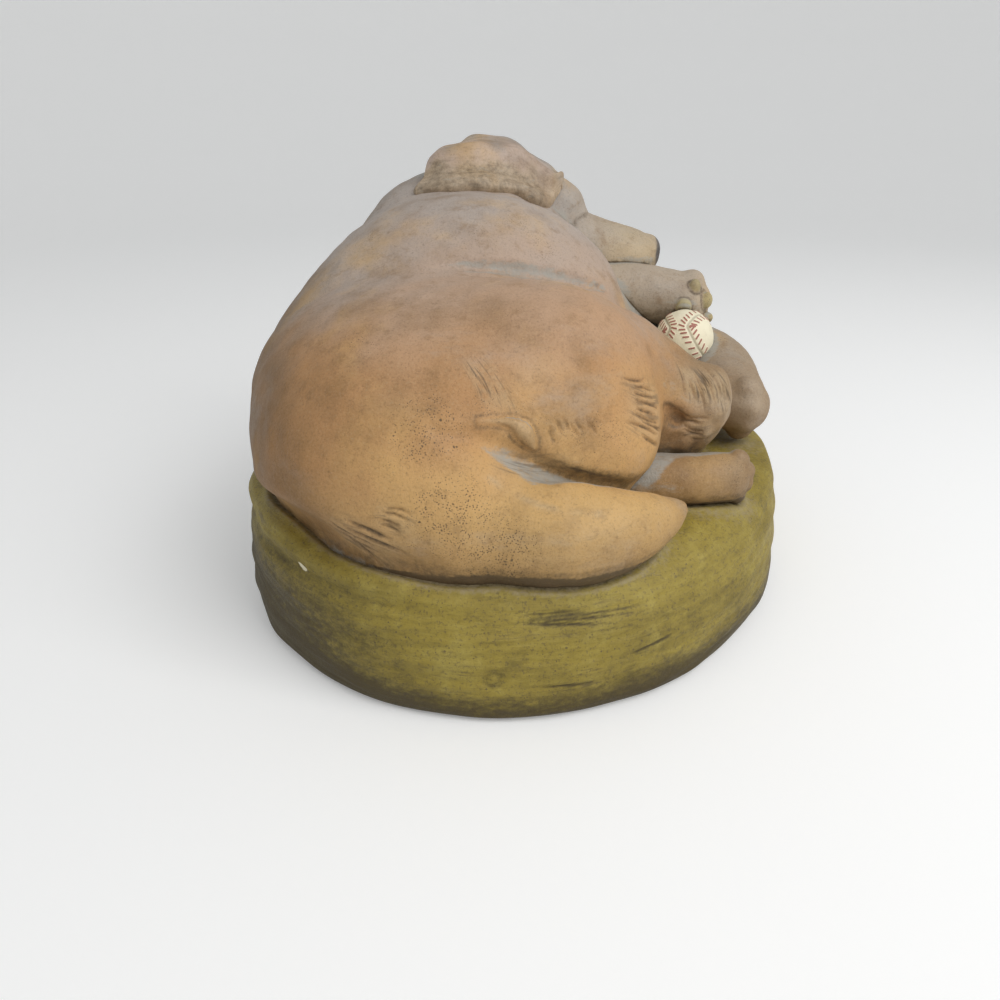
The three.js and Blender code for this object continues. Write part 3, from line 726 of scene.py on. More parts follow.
def coat_finish():
    """Antiqued paint: the painted colour of the vertices with wiped patches, mottling and a fine grain,
    dark pinholes, fine fur lines, grime with painted shade in the creases and streaked dust over it, and a
    casting's grain."""
    made = bpy.data.materials.get("antiqued_coat")
    if made:
        return made
    paint = bpy.context.scene.figurine_colours
    coat = Finish("antiqued_coat")
    base = coat.attribute("paint", "Color")
    base = coat.wash(base, coat.noise(38, 5, 0.62), 0.46, 0.72, 0.5, paint.umber)
    base = coat.wash(base, coat.noise(30, 5, 0.6), 0.5, 0.75, 0.45, paint.honey)
    wiped = coat.noise(30, 8, 0.7, coat.stretched((0.5, 1, 1.2)))
    base = coat.wash(base, wiped, 0.5, 0.75, 0.45, paint.ash)
    wear = coat.noise(190, 6, 0.7)
    base = coat.wash(base, wear, 0.5, 0.72, 0.4, paint.umber)
    speckle = coat.noise(1500, 3, 0.7)
    base = coat.wash(base, speckle, 0.5, 0.75, 0.35, paint.grime)
    base = coat.wash(base, speckle, 0.5, 0.25, 0.25, paint.fawn)
    fields = coat.math("MAXIMUM", coat.span(coat.noise(45, 3), 0.45, 0.7, 0, 0.6), coat.attribute("pits"))
    fields = coat.span(fields, 0, 0.9)
    small = coat.math("MULTIPLY", coat.math("MULTIPLY", coat.noise(320, 1), 0.52), fields)
    large = coat.math("MULTIPLY", coat.span(coat.noise(240, 1), 0.54, 0.8, 0, 0.3), fields)
    small = coat.math("LESS_THAN", coat.cells(1700), small)
    large = coat.math("LESS_THAN", coat.cells(700), large)
    hole = coat.math("MAXIMUM", small, large)
    base = coat.tint(base, hole, 0.85, paint.grime)
    # Dark wash and painted shade together: the grime attribute, darker where a place is closed in.
    grime = coat.math("ADD", coat.attribute("grime"), coat.math("MULTIPLY", coat.noise(420, 5, 0.75), 1.3))
    base = coat.wash(base, grime, 0.8, 1.6, 0.9, paint.grime)
    streaks = coat.noise(500, 6, 0.75, coat.stretched((0.35, 1, 1), (0, 0.3, 0.1)))
    dust = coat.math("ADD", coat.attribute("dust"), coat.math("MULTIPLY", streaks, 1.8))
    base = coat.wash(base, dust, 1.15, 1.85, 0.85, paint.dust)
    hair = coat.noise(1, 3, 0.6, coat.attribute("fur_place", "Vector"))
    hair = coat.math("MULTIPLY", coat.span(hair, 0.5, 0.64), coat.attribute("fur"))
    base = coat.tint(base, hair, 0.7, paint.grime)
    roughness = coat.span(coat.noise(120, 3), 0.3, 0.7, 0.5, 0.7)
    grain = coat.bump(coat.noise(900, 4, 0.7), 0.4, 0.0006)
    grain = coat.bump(wear, 0.3, 0.0012, grain)
    grain = coat.bump(hair, -0.7, 0.0008, grain)
    normal = coat.bump(hole, -0.7, 0.0005, grain)
    return coat.finish(base, roughness, normal)


def mix_rows(first, second, share):
    """Colours for all vertices: a mix of two, each one colour or a row per vertex, by a share per
    vertex."""
    return np.asarray(first) * (1 - share[:, None]) + np.asarray(second) * share[:, None]


def at_least(look, key, values):
    """Raises an attribute to some values where it is lower."""
    look[key] = np.maximum(look[key], values)


def repaint(look, over, share):
    """Lays a colour over the paint by a share per vertex."""
    look["paint"] = mix_rows(look["paint"], over, share)


def coat_paint(points):
    """The coat's paint by place: ochre with honey on the tail and thigh, ash over the ribs, neck and head
    but less on the far side, fawn and ash on the forelegs and muzzle, rose on the back, umber on the hind
    feet and on the lower foreleg, and umber as painted shade low down and at the left."""
    paint = bpy.context.scene.figurine_colours
    x, y, z = points.T
    uneven = 0.25 * waves(points, 38, 3) + 0.15 * waves(points, 14, 4)
    rows = mix_rows(paint.ochre, paint.honey, ramp(-y + 0.4 * x - 0.5 * z + 20 * uneven, 28, 84))
    far_side = ramp(y - 0.4 * z + 20 * uneven, 25, 60)
    ashen = ramp(y - 0.35 * x + 0.3 * z + 25 * uneven, -30, 55) * (1 - 0.6 * far_side)
    rows = mix_rows(rows, paint.ash, ashen)
    rows = mix_rows(rows, paint.fawn, 0.8 * ramp(x + 0.3 * y + 12 * uneven, 34, 60))
    rows = mix_rows(rows, paint.ash, 0.4 * ramp(x + 0.5 * y + 12 * uneven, 40, 80))
    hind_feet = ramp(x + 8 * uneven, 40, 56) * ramp(-y, -2, 12)
    rows = mix_rows(rows, paint.umber, 0.5 * hind_feet)
    low_paw = ramp(x, 58, 72) * ramp(-z, -42, -30) * ramp(y, 2, 14)
    rows = mix_rows(rows, paint.umber, 0.4 * low_paw)
    back = ramp(z + 10 * uneven, 42, 66) * (1 - 0.7 * ramp(y, 40, 62))
    rows = mix_rows(rows, paint.rose, 0.42 * back)
    # Painted shade in umber: darker low down and towards the left.
    rows = mix_rows(rows, paint.umber, 0.6 * ramp(-z + 12 * uneven, -30, 2))
    return mix_rows(rows, paint.umber, 0.85 * ramp(-x - 0.2 * z + 20 * uneven, 36, 79))


def coat_look(points, slopes):
    """Paint, wear and carving of every vertex: paint by place, grime with painted shade, and dust, by how
    closed in the place is, and an uneven surface. Pits and fur are left to the details of a piece."""
    near = shelter(points, slopes, (1, 2.5))
    wide = shelter(points, slopes, (5, 11))
    return {
        "paint": coat_paint(points),
        # Grime and painted shade: darker where the place is closed in.
        "grime": np.maximum(ramp(near, 0.2, 0.8), 0.45 * ramp(wide, 0.3, 0.8)),
        "dust": 0.85 * ramp(wide, 0.12, 0.55) * ramp(slopes[:, 2], -0.3, 0.3),
        "pits": np.zeros(len(points)),
        "fur": np.zeros(len(points)),
        "fur_place": np.zeros((len(points), 3)),
        "carved": 0.2 * waves(points, 24, 5) + 0.1 * waves(points, 9, 6),
    }


def coat_piece(name, form, low, high, cell, nodes, detail=None, carved=None):
    """A piece of the dog: its form cut off below the mound's top, finer where it is carved, then carved
    by its own detail and painted."""

    def cut(points):
        return np.maximum(form(points), SUNK - points[:, 2])

    low = np.maximum(np.array(low, float), [-np.inf, -np.inf, SUNK])
    points, faces, slopes = skin(cut, low, high, cell)
    if carved:
        points, faces = finer(points, faces, carved(points)[np.array(faces)].any(axis=1))
        points, slopes = onto(cut, points, cell / 2)
    look = coat_look(points, slopes)
    if detail:
        detail(points, look)
    points = points + slopes * look.pop("carved")[:, None] + DOG_PLACE
    make_piece(name, points, faces, coat_finish(), nodes, look)


def furrows(points, form, patch, seed):
    """Fur strokes cut by a tool: grooves side by side over the form, each along the run with a little
    fan, bow and scatter, deepest in its middle. Returns the share of cut, from 0 to 1."""
    start, run, across = (np.array(v, float) for v in (patch.start, patch.run, patch.across))
    count, pitch = patch.number, patch.pitch
    draw = np.random.default_rng(seed)
    near = np.linalg.norm(points - start - run / 2, axis=1) < np.linalg.norm(run) + pitch * count
    cut = np.zeros(len(points))
    share = np.linspace(0, 1, 7)[:, None]
    for place in np.arange(count) - (count - 1) / 2:
        side = across / np.linalg.norm(across) * pitch
        begin = start + side * (place + draw.uniform(-0.3, 0.3)) + run * draw.uniform(-0.25, 0.25)
        bow = side * draw.uniform(-0.5, 0.5) * np.sin(math.pi * share)
        path = begin + share * (run * draw.uniform(0.6, 1.1) + side * place * 0.2) + bow
        away, along = path_distance(points[near], onto(form, path, LINE_SLIDE)[0])
        depth = bell(away, 0.3 * pitch) * np.sqrt(np.sin(math.pi * along))
        cut[near] = np.maximum(cut[near], depth)
    return cut


def fur_lines(points, patch, seed):
    """The share of a patch of fine fur lines at each point, and the place in it: across in pitches, along
    in lengths of a line, and a number of its own."""
    start, run, across = (np.array(v, float) for v in (patch.start, patch.run, patch.across))
    across *= patch.pitch / np.linalg.norm(across)
    along, aside = np.linalg.pinv(np.stack([run, across], axis=1)) @ (points - start).T
    bent = aside * (1 - 0.25 * along) + 1.5 * (along - 0.5) ** 2
    off = np.linalg.norm(points - start - along[:, None] * run - aside[:, None] * across, axis=1)
    share = ramp(along, -0.3, 0.15) * ramp(-along, -1.35, -0.8)
    edge = -patch.number / 2
    share *= ramp(-np.abs(aside), edge - 1, edge + 1.5)
    place = np.stack([1.3 * bent, 1.2 * along, np.full(len(points), 7.3 * seed)], axis=1)
    return patch.fine * share * ramp(-off, -9, -6), place


def stroked(points):
    """Whether points lie in a patch of deeper fur strokes or on the raised lock."""
    held = limb(LOCK, 6)(points) < 2
    for patch in STROKES:
        if patch.depth > SHALLOW:
            held |= fur_lines(points, patch._replace(fine=1), 0)[0] > 0.1
    return held


def body_detail(points, look):
    """The fur strokes on the haunch, thigh, foot and tail, darkened by grime and painted shade, with paler
    fur between them that is partly a painted highlight, the lumps of the upper hind foot and its hollow
    laid in painted shade, grime with painted shade and dust in the fold behind the thigh, the lock in pale
    paint that is partly a painted highlight with a painted shadow round its edge, the worn crest of the
    tail with a painted highlight along it, and the fields of pinholes on the haunch and the tail's root."""
    paint = bpy.context.scene.figurine_colours
    for seed, patch in enumerate(STROKES):
        cut = furrows(points, BODY, patch, seed)
        share, place = fur_lines(points, patch, seed)
        look["carved"] += patch.depth * (0.3 * share - cut)
        # The cuts are darkened by grime and painted shade; the fur between them is paler, partly a painted
        # highlight on the ridges.
        at_least(look, "grime", (0.2 + 0.7 * patch.depth) * cut)
        repaint(look, paint.fawn, 0.35 * share * (1 - cut))
        more = share > look["fur"]
        at_least(look, "fur", share)
        look["fur_place"][more] = place[more]
    middle, reach = FOOT_LUMPS
    foot = bell(np.linalg.norm(points - np.array(middle), axis=1), reach)
    look["carved"] += 0.6 * foot * waves(points, 7, 22)
    # Painted shade in the hollow of the hind foot, with the dust kept out of it.
    hollow = -limb(HOCK_HOLLOW, 12)(points)
    at_least(look, "grime", 0.7 * ramp(hollow, -1, 0.4))
    look["dust"] *= 1 - ramp(hollow, -5, -2)
    # Grime with painted shade, and dust, in the fold.
    fold, along = path_distance(points, smooth_path(FOLD, 12)[:, :3])
    fold = bell(fold, 2.4) * np.sqrt(np.sin(math.pi * along))
    at_least(look, "grime", 0.6 * fold)
    at_least(look, "dust", 0.55 * fold)
    # Pale paint on the lock, partly a painted highlight, and a painted shadow round its edge.
    lock = limb(LOCK, 12)(points)
    repaint(look, paint.fawn, 0.45 * ramp(-lock, -0.6, 0.2))
    at_least(look, "grime", 0.5 * bell(lock - 1.3, 0.7))
    # Worn paint and a painted highlight along the tail's crest.
    crest = path_distance(points, smooth_path(CREST, 12))[0]
    worn_and_highlight = bell(crest, 0.9) * ramp(waves(points, 9, 23), -0.8, 0.6)
    repaint(look, paint.fawn, 0.5 * worn_and_highlight)
    for centre, reach in PINHOLES:
        at_least(look, "pits", bell(np.linalg.norm(points - np.array(centre), axis=1), reach))


def line_on(form, stations, points):
    """The distance from points to a smooth path laid onto a form."""
    return path_distance(points, onto(form, smooth_path(stations, 24)[:, :3], LINE_SLIDE)[0])[0]


def head_detail(points, look):
    """The closed lids, the mouth's line, the nose with its nostrils and the groove under it, ash over the
    back of the head and fawn on the muzzle."""
    paint = bpy.context.scene.figurine_colours
    own = (points - HEAD_PLACE) @ nod_matrix(HEAD_NOD)
    for side in (0, 1):
        lid = line_on(HEAD_OWN, mirrored(LID)[side], own)
        look["carved"] += 0.7 * bell(lid, 3) - 1.1 * bell(lid, 0.8)
        mouth = line_on(HEAD_OWN, mirrored(MOUTH)[side], own)
        look["carved"] += 0.5 * bell(mouth, 3) - 1.4 * bell(mouth, 0.9)
        nostril = np.linalg.norm(own - mirrored(NOSTRIL)[side], axis=1)
        look["carved"] -= 1.6 * bell(nostril, 1.7)
        # Grime and painted shade in the lids, the mouth and the nostrils.
        for line, share in ((lid, 0.55), (mouth, 0.8), (nostril / 1.5, 1)):
            at_least(look, "grime", share * bell(line, 1.1))
    groove = line_on(HEAD_OWN, LIP_GROOVE, own)
    look["carved"] -= 0.9 * bell(groove, 0.8)
    nose = ellipsoid(NOSE[0], np.array(NOSE[1]) + 0.6)(own)
    repaint(look, paint.ash, 0.55 * ramp(-own[:, 0], -44, -24))
    repaint(look, paint.fawn, 0.8 * ramp(own[:, 0], 34, 54))
    repaint(look, paint.slate, ramp(-nose, -0.4, 0.3) * ramp(own[:, 0], 63.8, 65))


def paw_detail(points, look):
    """The yellow paint of the pads, with painted shade as a dark line round each on the sole."""
    paint = bpy.context.scene.figurine_colours
    inside = np.minimum.reduce([ellipsoid(*pad)(points) for pad in PADS])
    sole = ramp(points[:, 0], 60, 66) * ramp(-points[:, 1], -58, -52)
    # Painted shade round the pads on the sole.
    at_least(look, "grime", 0.7 * sole * bell(inside - 0.7, 0.6))
    repaint(look, paint.pads, ramp(-inside, -0.4, 0.2))


class FIGURINE_OT_body(bpy.types.Operator):
    """Builds the dog's body, tail and upper hind foot as one sculpted skin"""

    bl_idname = "figurine.body"
    bl_label = "Body, tail and upper hind foot"

    def execute(self, context):
        cell = context.scene.figurine_sizes.coat_cell / MM
        nodes = ("body", "tail", "right_hind_foot")
        coat_piece("body_coat", BODY, *BODY_BOX, cell, nodes, body_detail, stroked)
        return {"FINISHED"}


class FIGURINE_OT_head(bpy.types.Operator):
    """Builds the dog's head"""

    bl_idname = "figurine.head"
    bl_label = "Head"

    def execute(self, context):
        cell = context.scene.figurine_sizes.face_cell / MM
        coat_piece("head_coat", HEAD, *HEAD_BOX, cell, ("head",), head_detail)
        return {"FINISHED"}


class FIGURINE_OT_legs(bpy.types.Operator):
    """Builds the lower hind foot and the two forelegs"""

    bl_idname = "figurine.legs"
    bl_label = "Legs and paws"

    def execute(self, context):
        cell = context.scene.figurine_sizes.face_cell / MM
        for name, (form, stations) in LEGS.items():
            spots = np.array(stations, float)
            room = spots[:, 3:] * 1.4
            low = (spots[:, :3] - room).min(0)
            high = (spots[:, :3] + room).max(0)
            detail = paw_detail if stations is RIGHT_FORE else None
            coat_piece(name + "_coat", form, low, high, cell, (name,), detail)
        return {"FINISHED"}


def outward(points, faces):
    """Vertex normals: the sum of the cross products of the diagonals of the faces round each vertex."""
    total = np.zeros_like(points)
    for corners in (3, 4):
        ring = np.array([face for face in faces if len(face) == corners])
        cross = np.cross(points[ring[:, 2]] - points[ring[:, 0]], points[ring[:, -1]] - points[ring[:, 1]])
        for corner in range(corners):
            np.add.at(total, ring[:, corner], cross)
    return unit(total)


def closed_grid(rows, columns):
    """Faces of a grid whose columns close into rings, with a pole vertex before and after all rings."""
    index = 1 + np.arange(rows * columns).reshape(rows, columns)
    after = np.roll(index, -1, axis=1)
    quads = np.stack([index[:-1], after[:-1], after[1:], index[1:]], axis=-1).reshape(-1, 4)
    first = np.stack([np.zeros(columns, int), after[0], index[0]], axis=1)
    last = np.stack([np.full(columns, rows * columns + 1), index[-1], after[-1]], axis=1)
    return first.tolist() + quads.tolist() + last.tolist()


class FIGURINE_OT_ears(bpy.types.Operator):
    """Builds the two hanging ears as thick bowed leaves"""

    bl_idname = "figurine.ears"
    bl_label = "Ears"

    def execute(self, context):
        thickness = context.scene.figurine_sizes.ear_thickness / MM
        paint = context.scene.figurine_colours
        for name, side in (("right_ear", 1), ("left_ear", -1)):
            points, faces, along, across = ear_surface(side, thickness)
            points = points @ nod_matrix(HEAD_NOD).T + HEAD_PLACE
            slopes = outward(points, faces)
            look = coat_look(points, slopes)
            lobe = ramp(along + 0.05 * waves(points, 12, 13), 0.7, 0.85)
            under = ramp(across + 0.04 * waves(points, 9, 14), 0.68, 0.8) * (1 - lobe)
            rows = mix_rows(paint.ash, paint.rose, ramp(across + 0.2 * waves(points, 13, 11), 0.2, 0.55))
            rows = mix_rows(rows, paint.fawn, 0.6 * lobe)
            look["paint"] = mix_rows(rows, paint.fawn, 0.6 * under)
            # Painted shade under the rolled fold of the ear.
            look["grime"] = 0.45 * under
            look["dust"] = 0.25 * under
            look["fur"] += 0.35
            look["fur_place"] = np.stack([15 * across, 5 * along, np.full(len(points), 90.0)], axis=1)
            carved = look.pop("carved") + 0.4 * waves(points, 15, 12)
            points = points + slopes * carved[:, None] + DOG_PLACE
            make_piece(name + "_coat", points, faces, coat_finish(), (name,), look)
        return {"FINISHED"}


def ear_surface(side, thickness):
    """A leaf: across it a bowed curve from the root to the free edge, carried from the back of the ear to
    its front. Each section is that curve, thickened both ways by the leaf's normal, with a rolled fold
    along it, and thinner at the leaf's two ends. The left ear hangs lower than the right one, which lies
    on the neck. Returns the points, the faces and the shares along and across of each point."""
    along = (1 - np.cos(np.linspace(0.03, 0.97, EAR_ROWS) * math.pi)) / 2
    root = smooth_path(EAR_ROOT, EAR_STEPS)
    free = smooth_path(EAR_FREE, EAR_STEPS)
    if side < 0:
        free = free + EAR_HANG
    at, steps = along * EAR_STEPS, np.arange(EAR_STEPS + 1)
    start = np.stack([np.interp(at, steps, root[:, k]) for k in range(3)], axis=1)
    end = np.stack([np.interp(at, steps, free[:, k]) for k in range(3)], axis=1)
    middle = (start + end) / 2 + [0, 0, EAR_BOW]
    spread = unit(end - start)
    run = unit(np.gradient(start + end, axis=0))
    up = unit(-np.cross(run, spread))
    half = thickness / 2 * (0.45 + 0.55 * np.sqrt(np.sin(math.pi * along)))
    angle = round_angles(EAR_COLUMNS)
    share = (1 - np.cos(angle)) / 2
    roll = 1 + 0.5 * bell(share - 0.6, 0.11) - 0.6 * bell(share - 0.81, 0.1)
    lift = np.sign(np.sin(angle)) * np.abs(np.sin(angle)) ** 0.5 * roll
    s = share[None, :, None]
    leaf = start[:, None] * (1 - s) ** 2 + middle[:, None] * 2 * s * (1 - s) + end[:, None] * s ** 2
    leaf = leaf + up[:, None] * (half[:, None] * lift)[..., None]
    points = np.vstack([leaf[0].mean(0), leaf.reshape(-1, 3), leaf[-1].mean(0)])
    points[:, 1] *= side
    faces = closed_grid(EAR_ROWS, EAR_COLUMNS)
    if side < 0:
        faces = [face[::-1] for face in faces]
    shares = np.stack(np.broadcast_arrays(along[:, None], share), axis=-1).reshape(-1, 2)
    shares = np.vstack([[0, 0.5], shares, [1, 0.5]])
    return points, faces, shares[:, 0], shares[:, 1]


class FIGURINE_OT_mound(bpy.types.Operator):
    """Builds the mound and the felt pad under it"""

    bl_idname = "figurine.mound"
    bl_label = "Mound and pad"

    def execute(self, context):
        mound_piece(context.scene.figurine_sizes)
        pad_piece(context.scene.figurine_sizes)
        return {"FINISHED"}


def oval(sizes, inset, angle):
    """Places on the mound's outline, inset from it, at some angles from the short axis."""
    turn = sizes.mound_turn
    short = (sizes.mound_width / MM / 2 - inset) * np.cos(angle)
    long = (sizes.mound_depth / MM / 2 - inset) * np.sin(angle)
    c, s = math.cos(turn), math.sin(turn)
    return np.stack([short * c - long * s, short * s + long * c], axis=-1)


def at_heights(rings, heights):
    """Flat rings of places, each lifted to its height."""
    lifted = np.broadcast_to(heights[:, None, None], (*rings.shape[:2], 1))
    return np.concatenate([rings, lifted], axis=-1)


def mound_profile(knots, count):
    """Inset and height of the mound's side from the foot to the top, at even shares of its length."""
    knots = np.array(knots, float)
    path = smooth_path(np.hstack([knots, np.zeros((len(knots), 1))]), 400)
    at = np.concatenate([[0], np.cumsum(np.linalg.norm(np.diff(path, axis=0), axis=1))])
    even = np.linspace(0, at[-1], count)
    return np.interp(even, at, path[:, 0]), np.interp(even, at, path[:, 1]) + MOUND_FOOT


def mound_piece(sizes):
    """The mound: its side profile carried round the oval, closed by poles in the middle of the foot and
    top, with a rounder shoulder at the right front and a rim that rises at the left."""
    rows, columns = 180, 520
    angle = round_angles(columns)
    right = 0.8 * ramp(np.cos(angle + sizes.mound_turn - SHOULDER_BEARING), 0.55, 0.98)
    sharp, soft = mound_profile(SHARP_SIDE, rows), mound_profile(ROUND_SIDE, rows)
    inset = sharp[0][:, None] + right * (soft[0] - sharp[0])[:, None]
    height = sharp[1][:, None] + right * (soft[1] - sharp[1])[:, None]
    points = np.concatenate([oval(sizes, inset, angle), height[..., None]], axis=-1)
    bearing = np.arctan2(points[..., 1], points[..., 0])
    raised = ramp(np.cos(bearing - RISE_BEARING), 0.9, 0.98)
    points[..., 2] += RIM_RISE * raised * ramp(height, 20, 37)
    points = np.vstack([[0, 0, MOUND_FOOT], points.reshape(-1, 3), [0, 0, MOUND_TOP]])
    faces = closed_grid(rows, columns)
    slopes = outward(points, faces)
    carved, look = mound_marks(points, slopes)
    points = points + slopes * carved[:, None]
    make_piece("mound_cast", points, faces, mound_finish(), ("mound",), look)


def mound_marks(points, slopes):
    """Relief, wear and painted shade of the mound: a soft valley under the rim at the left, brush ridges
    round the side, a raised dusty lip that follows the dog, darkening low down, painted shade in the
    valley, against the dog, over the left and more lightly over the right, scratches, a scar and a chip.
    Returns the height to add and the attributes."""
    x, y, z = points.T
    bearing = np.arctan2(y, x)
    steep = 1 - slopes[:, 2] ** 2
    left = ramp(np.cos(bearing - SHADE_BEARING), 0.2, 0.6)
    shaded_left = ramp(np.cos(bearing - SHADE_BEARING), 0.35, 0.9)
    shaded_right = ramp(np.cos(bearing - HALF_SHADE_BEARING), 0.75, 0.95) * ramp(-z, -36, -20)
    level = z - 2 * np.sin(bearing * 2)
    valley = left * bell(level - 31.5, 2.4)
    bands = waves(points * np.array([1, 1, 6]), 42, 31) + 0.6 * waves(points * np.array([1, 1, 7]), 17, 32)
    away = whole_dog(points - DOG_PLACE)
    lip = ramp(slopes[:, 2], 0.3, 0.8) * bell(away - 2.2, 1.1)
    carved = 0.22 * bands * steep + 0.25 * waves(points, 30, 33) - 1.3 * valley + 0.7 * lip
    # Darker towards the foot; painted shade in the valley and against the dog.
    grime = np.maximum(0.85 * ramp(-z, -15, -1), 0.2 * valley)
    grime = np.maximum(grime, bell(np.maximum(away, 0), 1.1))
    # Painted shade over the left side and, lighter, over the right.
    grime += 0.85 * shaded_left * ramp(-z, -40, -20) + 0.25 * shaded_right
    reach = 5 + 8 * ramp(x, 20, 60)
    dust = np.maximum(0.75 * bell(away - 2, 1.3), 0.65 * ramp(-away / reach, -1, -0.2))
    for start, start_height, end, end_height in SCRATCHES:
        along = np.clip((np.degrees(bearing) - start) / (end - start), 0, 1)
        line = np.abs(z - start_height - along * (end_height - start_height))
        share = steep * np.sqrt(np.sin(math.pi * along)) * bell(line, 0.45)
        carved -= 0.35 * share
        grime = np.maximum(grime, 1.1 * share)
    scar = np.linalg.norm(points - np.array(SCAR), axis=1)
    carved -= 0.5 * bell(scar - 2, 1.2)
    grime = np.maximum(grime, 0.5 * bell(scar - 2, 1.4))
    offset = points - np.array(CHIP)
    along = offset @ np.array(CHIP_RUN)
    beside = np.linalg.norm(offset - along[:, None] * np.array(CHIP_RUN), axis=1)
    chip = np.exp(-((along / 2.4) ** 2 + (beside / 1.1) ** 2) ** 2)
    carved -= 0.5 * chip
    return carved, {"grime": grime, "dust": dust, "chip": chip}


def mound_finish():
    """Olive paint brushed round the mound in broad and fine streaks, with speckle, a peat wash that darkens
    it low down and lays painted shade against the dog and on its sides, grime in the marks, dust round the
    dog and bare casting in the chip."""
    paint = bpy.context.scene.figurine_colours
    mound = Finish("brushed_mound")
    streak = mound.noise(26, 7, 0.65, mound.stretched((1, 1, 4)))
    fine = mound.noise(210, 7, 0.76, mound.stretched((0.5, 0.5, 4)))
    mottle = mound.noise(75, 7, 0.72)
    base = mound.wash(paint.olive, streak, 0.42, 0.7, 0.5, paint.moss)
    base = mound.wash(base, mottle, 0.48, 0.7, 0.6, paint.straw)
    base = mound.wash(base, mottle, 0.5, 0.3, 0.7, paint.moss)
    base = mound.wash(base, fine, 0.52, 0.7, 0.6, paint.moss)
    base = mound.wash(base, fine, 0.48, 0.3, 0.4, paint.straw)
    scratch = mound.noise(420, 3, 0.6, mound.stretched((0.1, 0.1, 1)))
    patches = mound.span(mound.noise(34, 3), 0.45, 0.65)
    scratch = mound.math("MULTIPLY", mound.span(scratch, 0.58, 0.68), patches)
    base = mound.tint(base, scratch, 0.6, paint.grime)
    speckle = mound.noise(1100, 3, 0.72)
    base = mound.wash(base, speckle, 0.52, 0.66, 0.5, paint.grime)
    hole = mound.math("LESS_THAN", mound.cells(420), mound.math("MULTIPLY", mound.noise(260, 1), 0.2))
    base = mound.tint(base, hole, 0.7, paint.grime)
    wear = mound.noise(330, 6, 0.75, mound.stretched((1, 1, 2)))
    # The peat wash: darker low down, painted shade against the dog and on the sides, and grime in the
    # marks.
    grime = mound.math("ADD", mound.attribute("grime"), mound.math("MULTIPLY", wear, 1.3))
    base = mound.wash(base, grime, 0.75, 1.55, 0.92, paint.peat)
    powder = mound.math("MULTIPLY", mound.noise(480, 6, 0.78), 1.8)
    dust = mound.math("ADD", mound.attribute("dust"), powder)
    base = mound.wash(base, dust, 1.15, 1.9, 0.8, paint.silt)
    base = mound.mix(mound.span(mound.attribute("chip"), 0.35, 0.6), base, paint.cream)
    normal = mound.bump(mound.noise(800, 4, 0.65), 0.35, 0.0006)
    normal = mound.bump(fine, 0.4, 0.001, normal)
    normal = mound.bump(scratch, -0.4, 0.0006, normal)
    return mound.finish(base, mound.span(streak, 0.3, 0.7, 0.45, 0.65), normal)


def pad_piece(sizes):
    """The felt pad: a flat oval with a rounded edge."""
    inset = np.array([30, 12.6, 12.15, 12, 12, 12.3, 30.0])
    height = np.array([0, 0, 0.15, 0.5, 1.2, 1.5, 1.5])
    columns = 240
    angle = round_angles(columns)
    points = at_heights(oval(sizes, inset[:, None], angle[None, :]), height)
    points = np.vstack([[0, 0, 0], points.reshape(-1, 3), [0, 0, height[-1]]])
    faces = closed_grid(len(inset), columns)
    make_piece("pad_felt", points, faces, felt_finish(), ("felt_pad",), {})


def felt_finish():
    """Matt felt: tangled fibres as fine noise, in colour and height."""
    paint = bpy.context.scene.figurine_colours
    felt = Finish("matt_felt")
    fibre = felt.noise(1400, 6, 0.7)
    base = felt.mix(felt.span(fibre, 0.35, 0.7), paint.felt, tuple(0.5 * np.array(paint.felt)))
    felt.shader.inputs["Sheen Weight"].default_value = 0.3
    return felt.finish(base, 0.95, felt.bump(fibre, 0.6, 0.0006))


class FIGURINE_OT_ball(bpy.types.Operator):
    """Builds the ball and its stitches"""

    bl_idname = "figurine.ball"
    bl_label = "Ball"

    def execute(self, context):
        ball_piece(context.scene.figurine_sizes.ball_diameter / MM / 2)
        return {"FINISHED"}


def seam(count):
    """Places on a unit ball along the seam: from pole to pole the polar angle swings as a cosine while
    the bearing goes round by half the phase, with a sine of twice the phase added."""
    phase = np.linspace(0, 4 * math.pi, count, endpoint=False)
    polar = math.pi / 2 - (math.pi / 2 - SEAM_SWING) * np.cos(phase)
    bearing = phase / 2 + SEAM_SWING * np.sin(2 * phase)
    out = np.sin(polar)
    return np.stack([out * np.cos(bearing), out * np.sin(bearing), np.cos(polar)], axis=1)


def turned(points, angles):
    """Points turned about X, then Y, then Z."""
    for axis, angle in enumerate(angles):
        c, s = math.cos(angle), math.sin(angle)
        after, last = (axis + 1) % 3, (axis + 2) % 3
        first, second = points[:, after], points[:, last]
        points = points.copy()
        points[:, after], points[:, last] = c * first - s * second, s * first + c * second
    return points


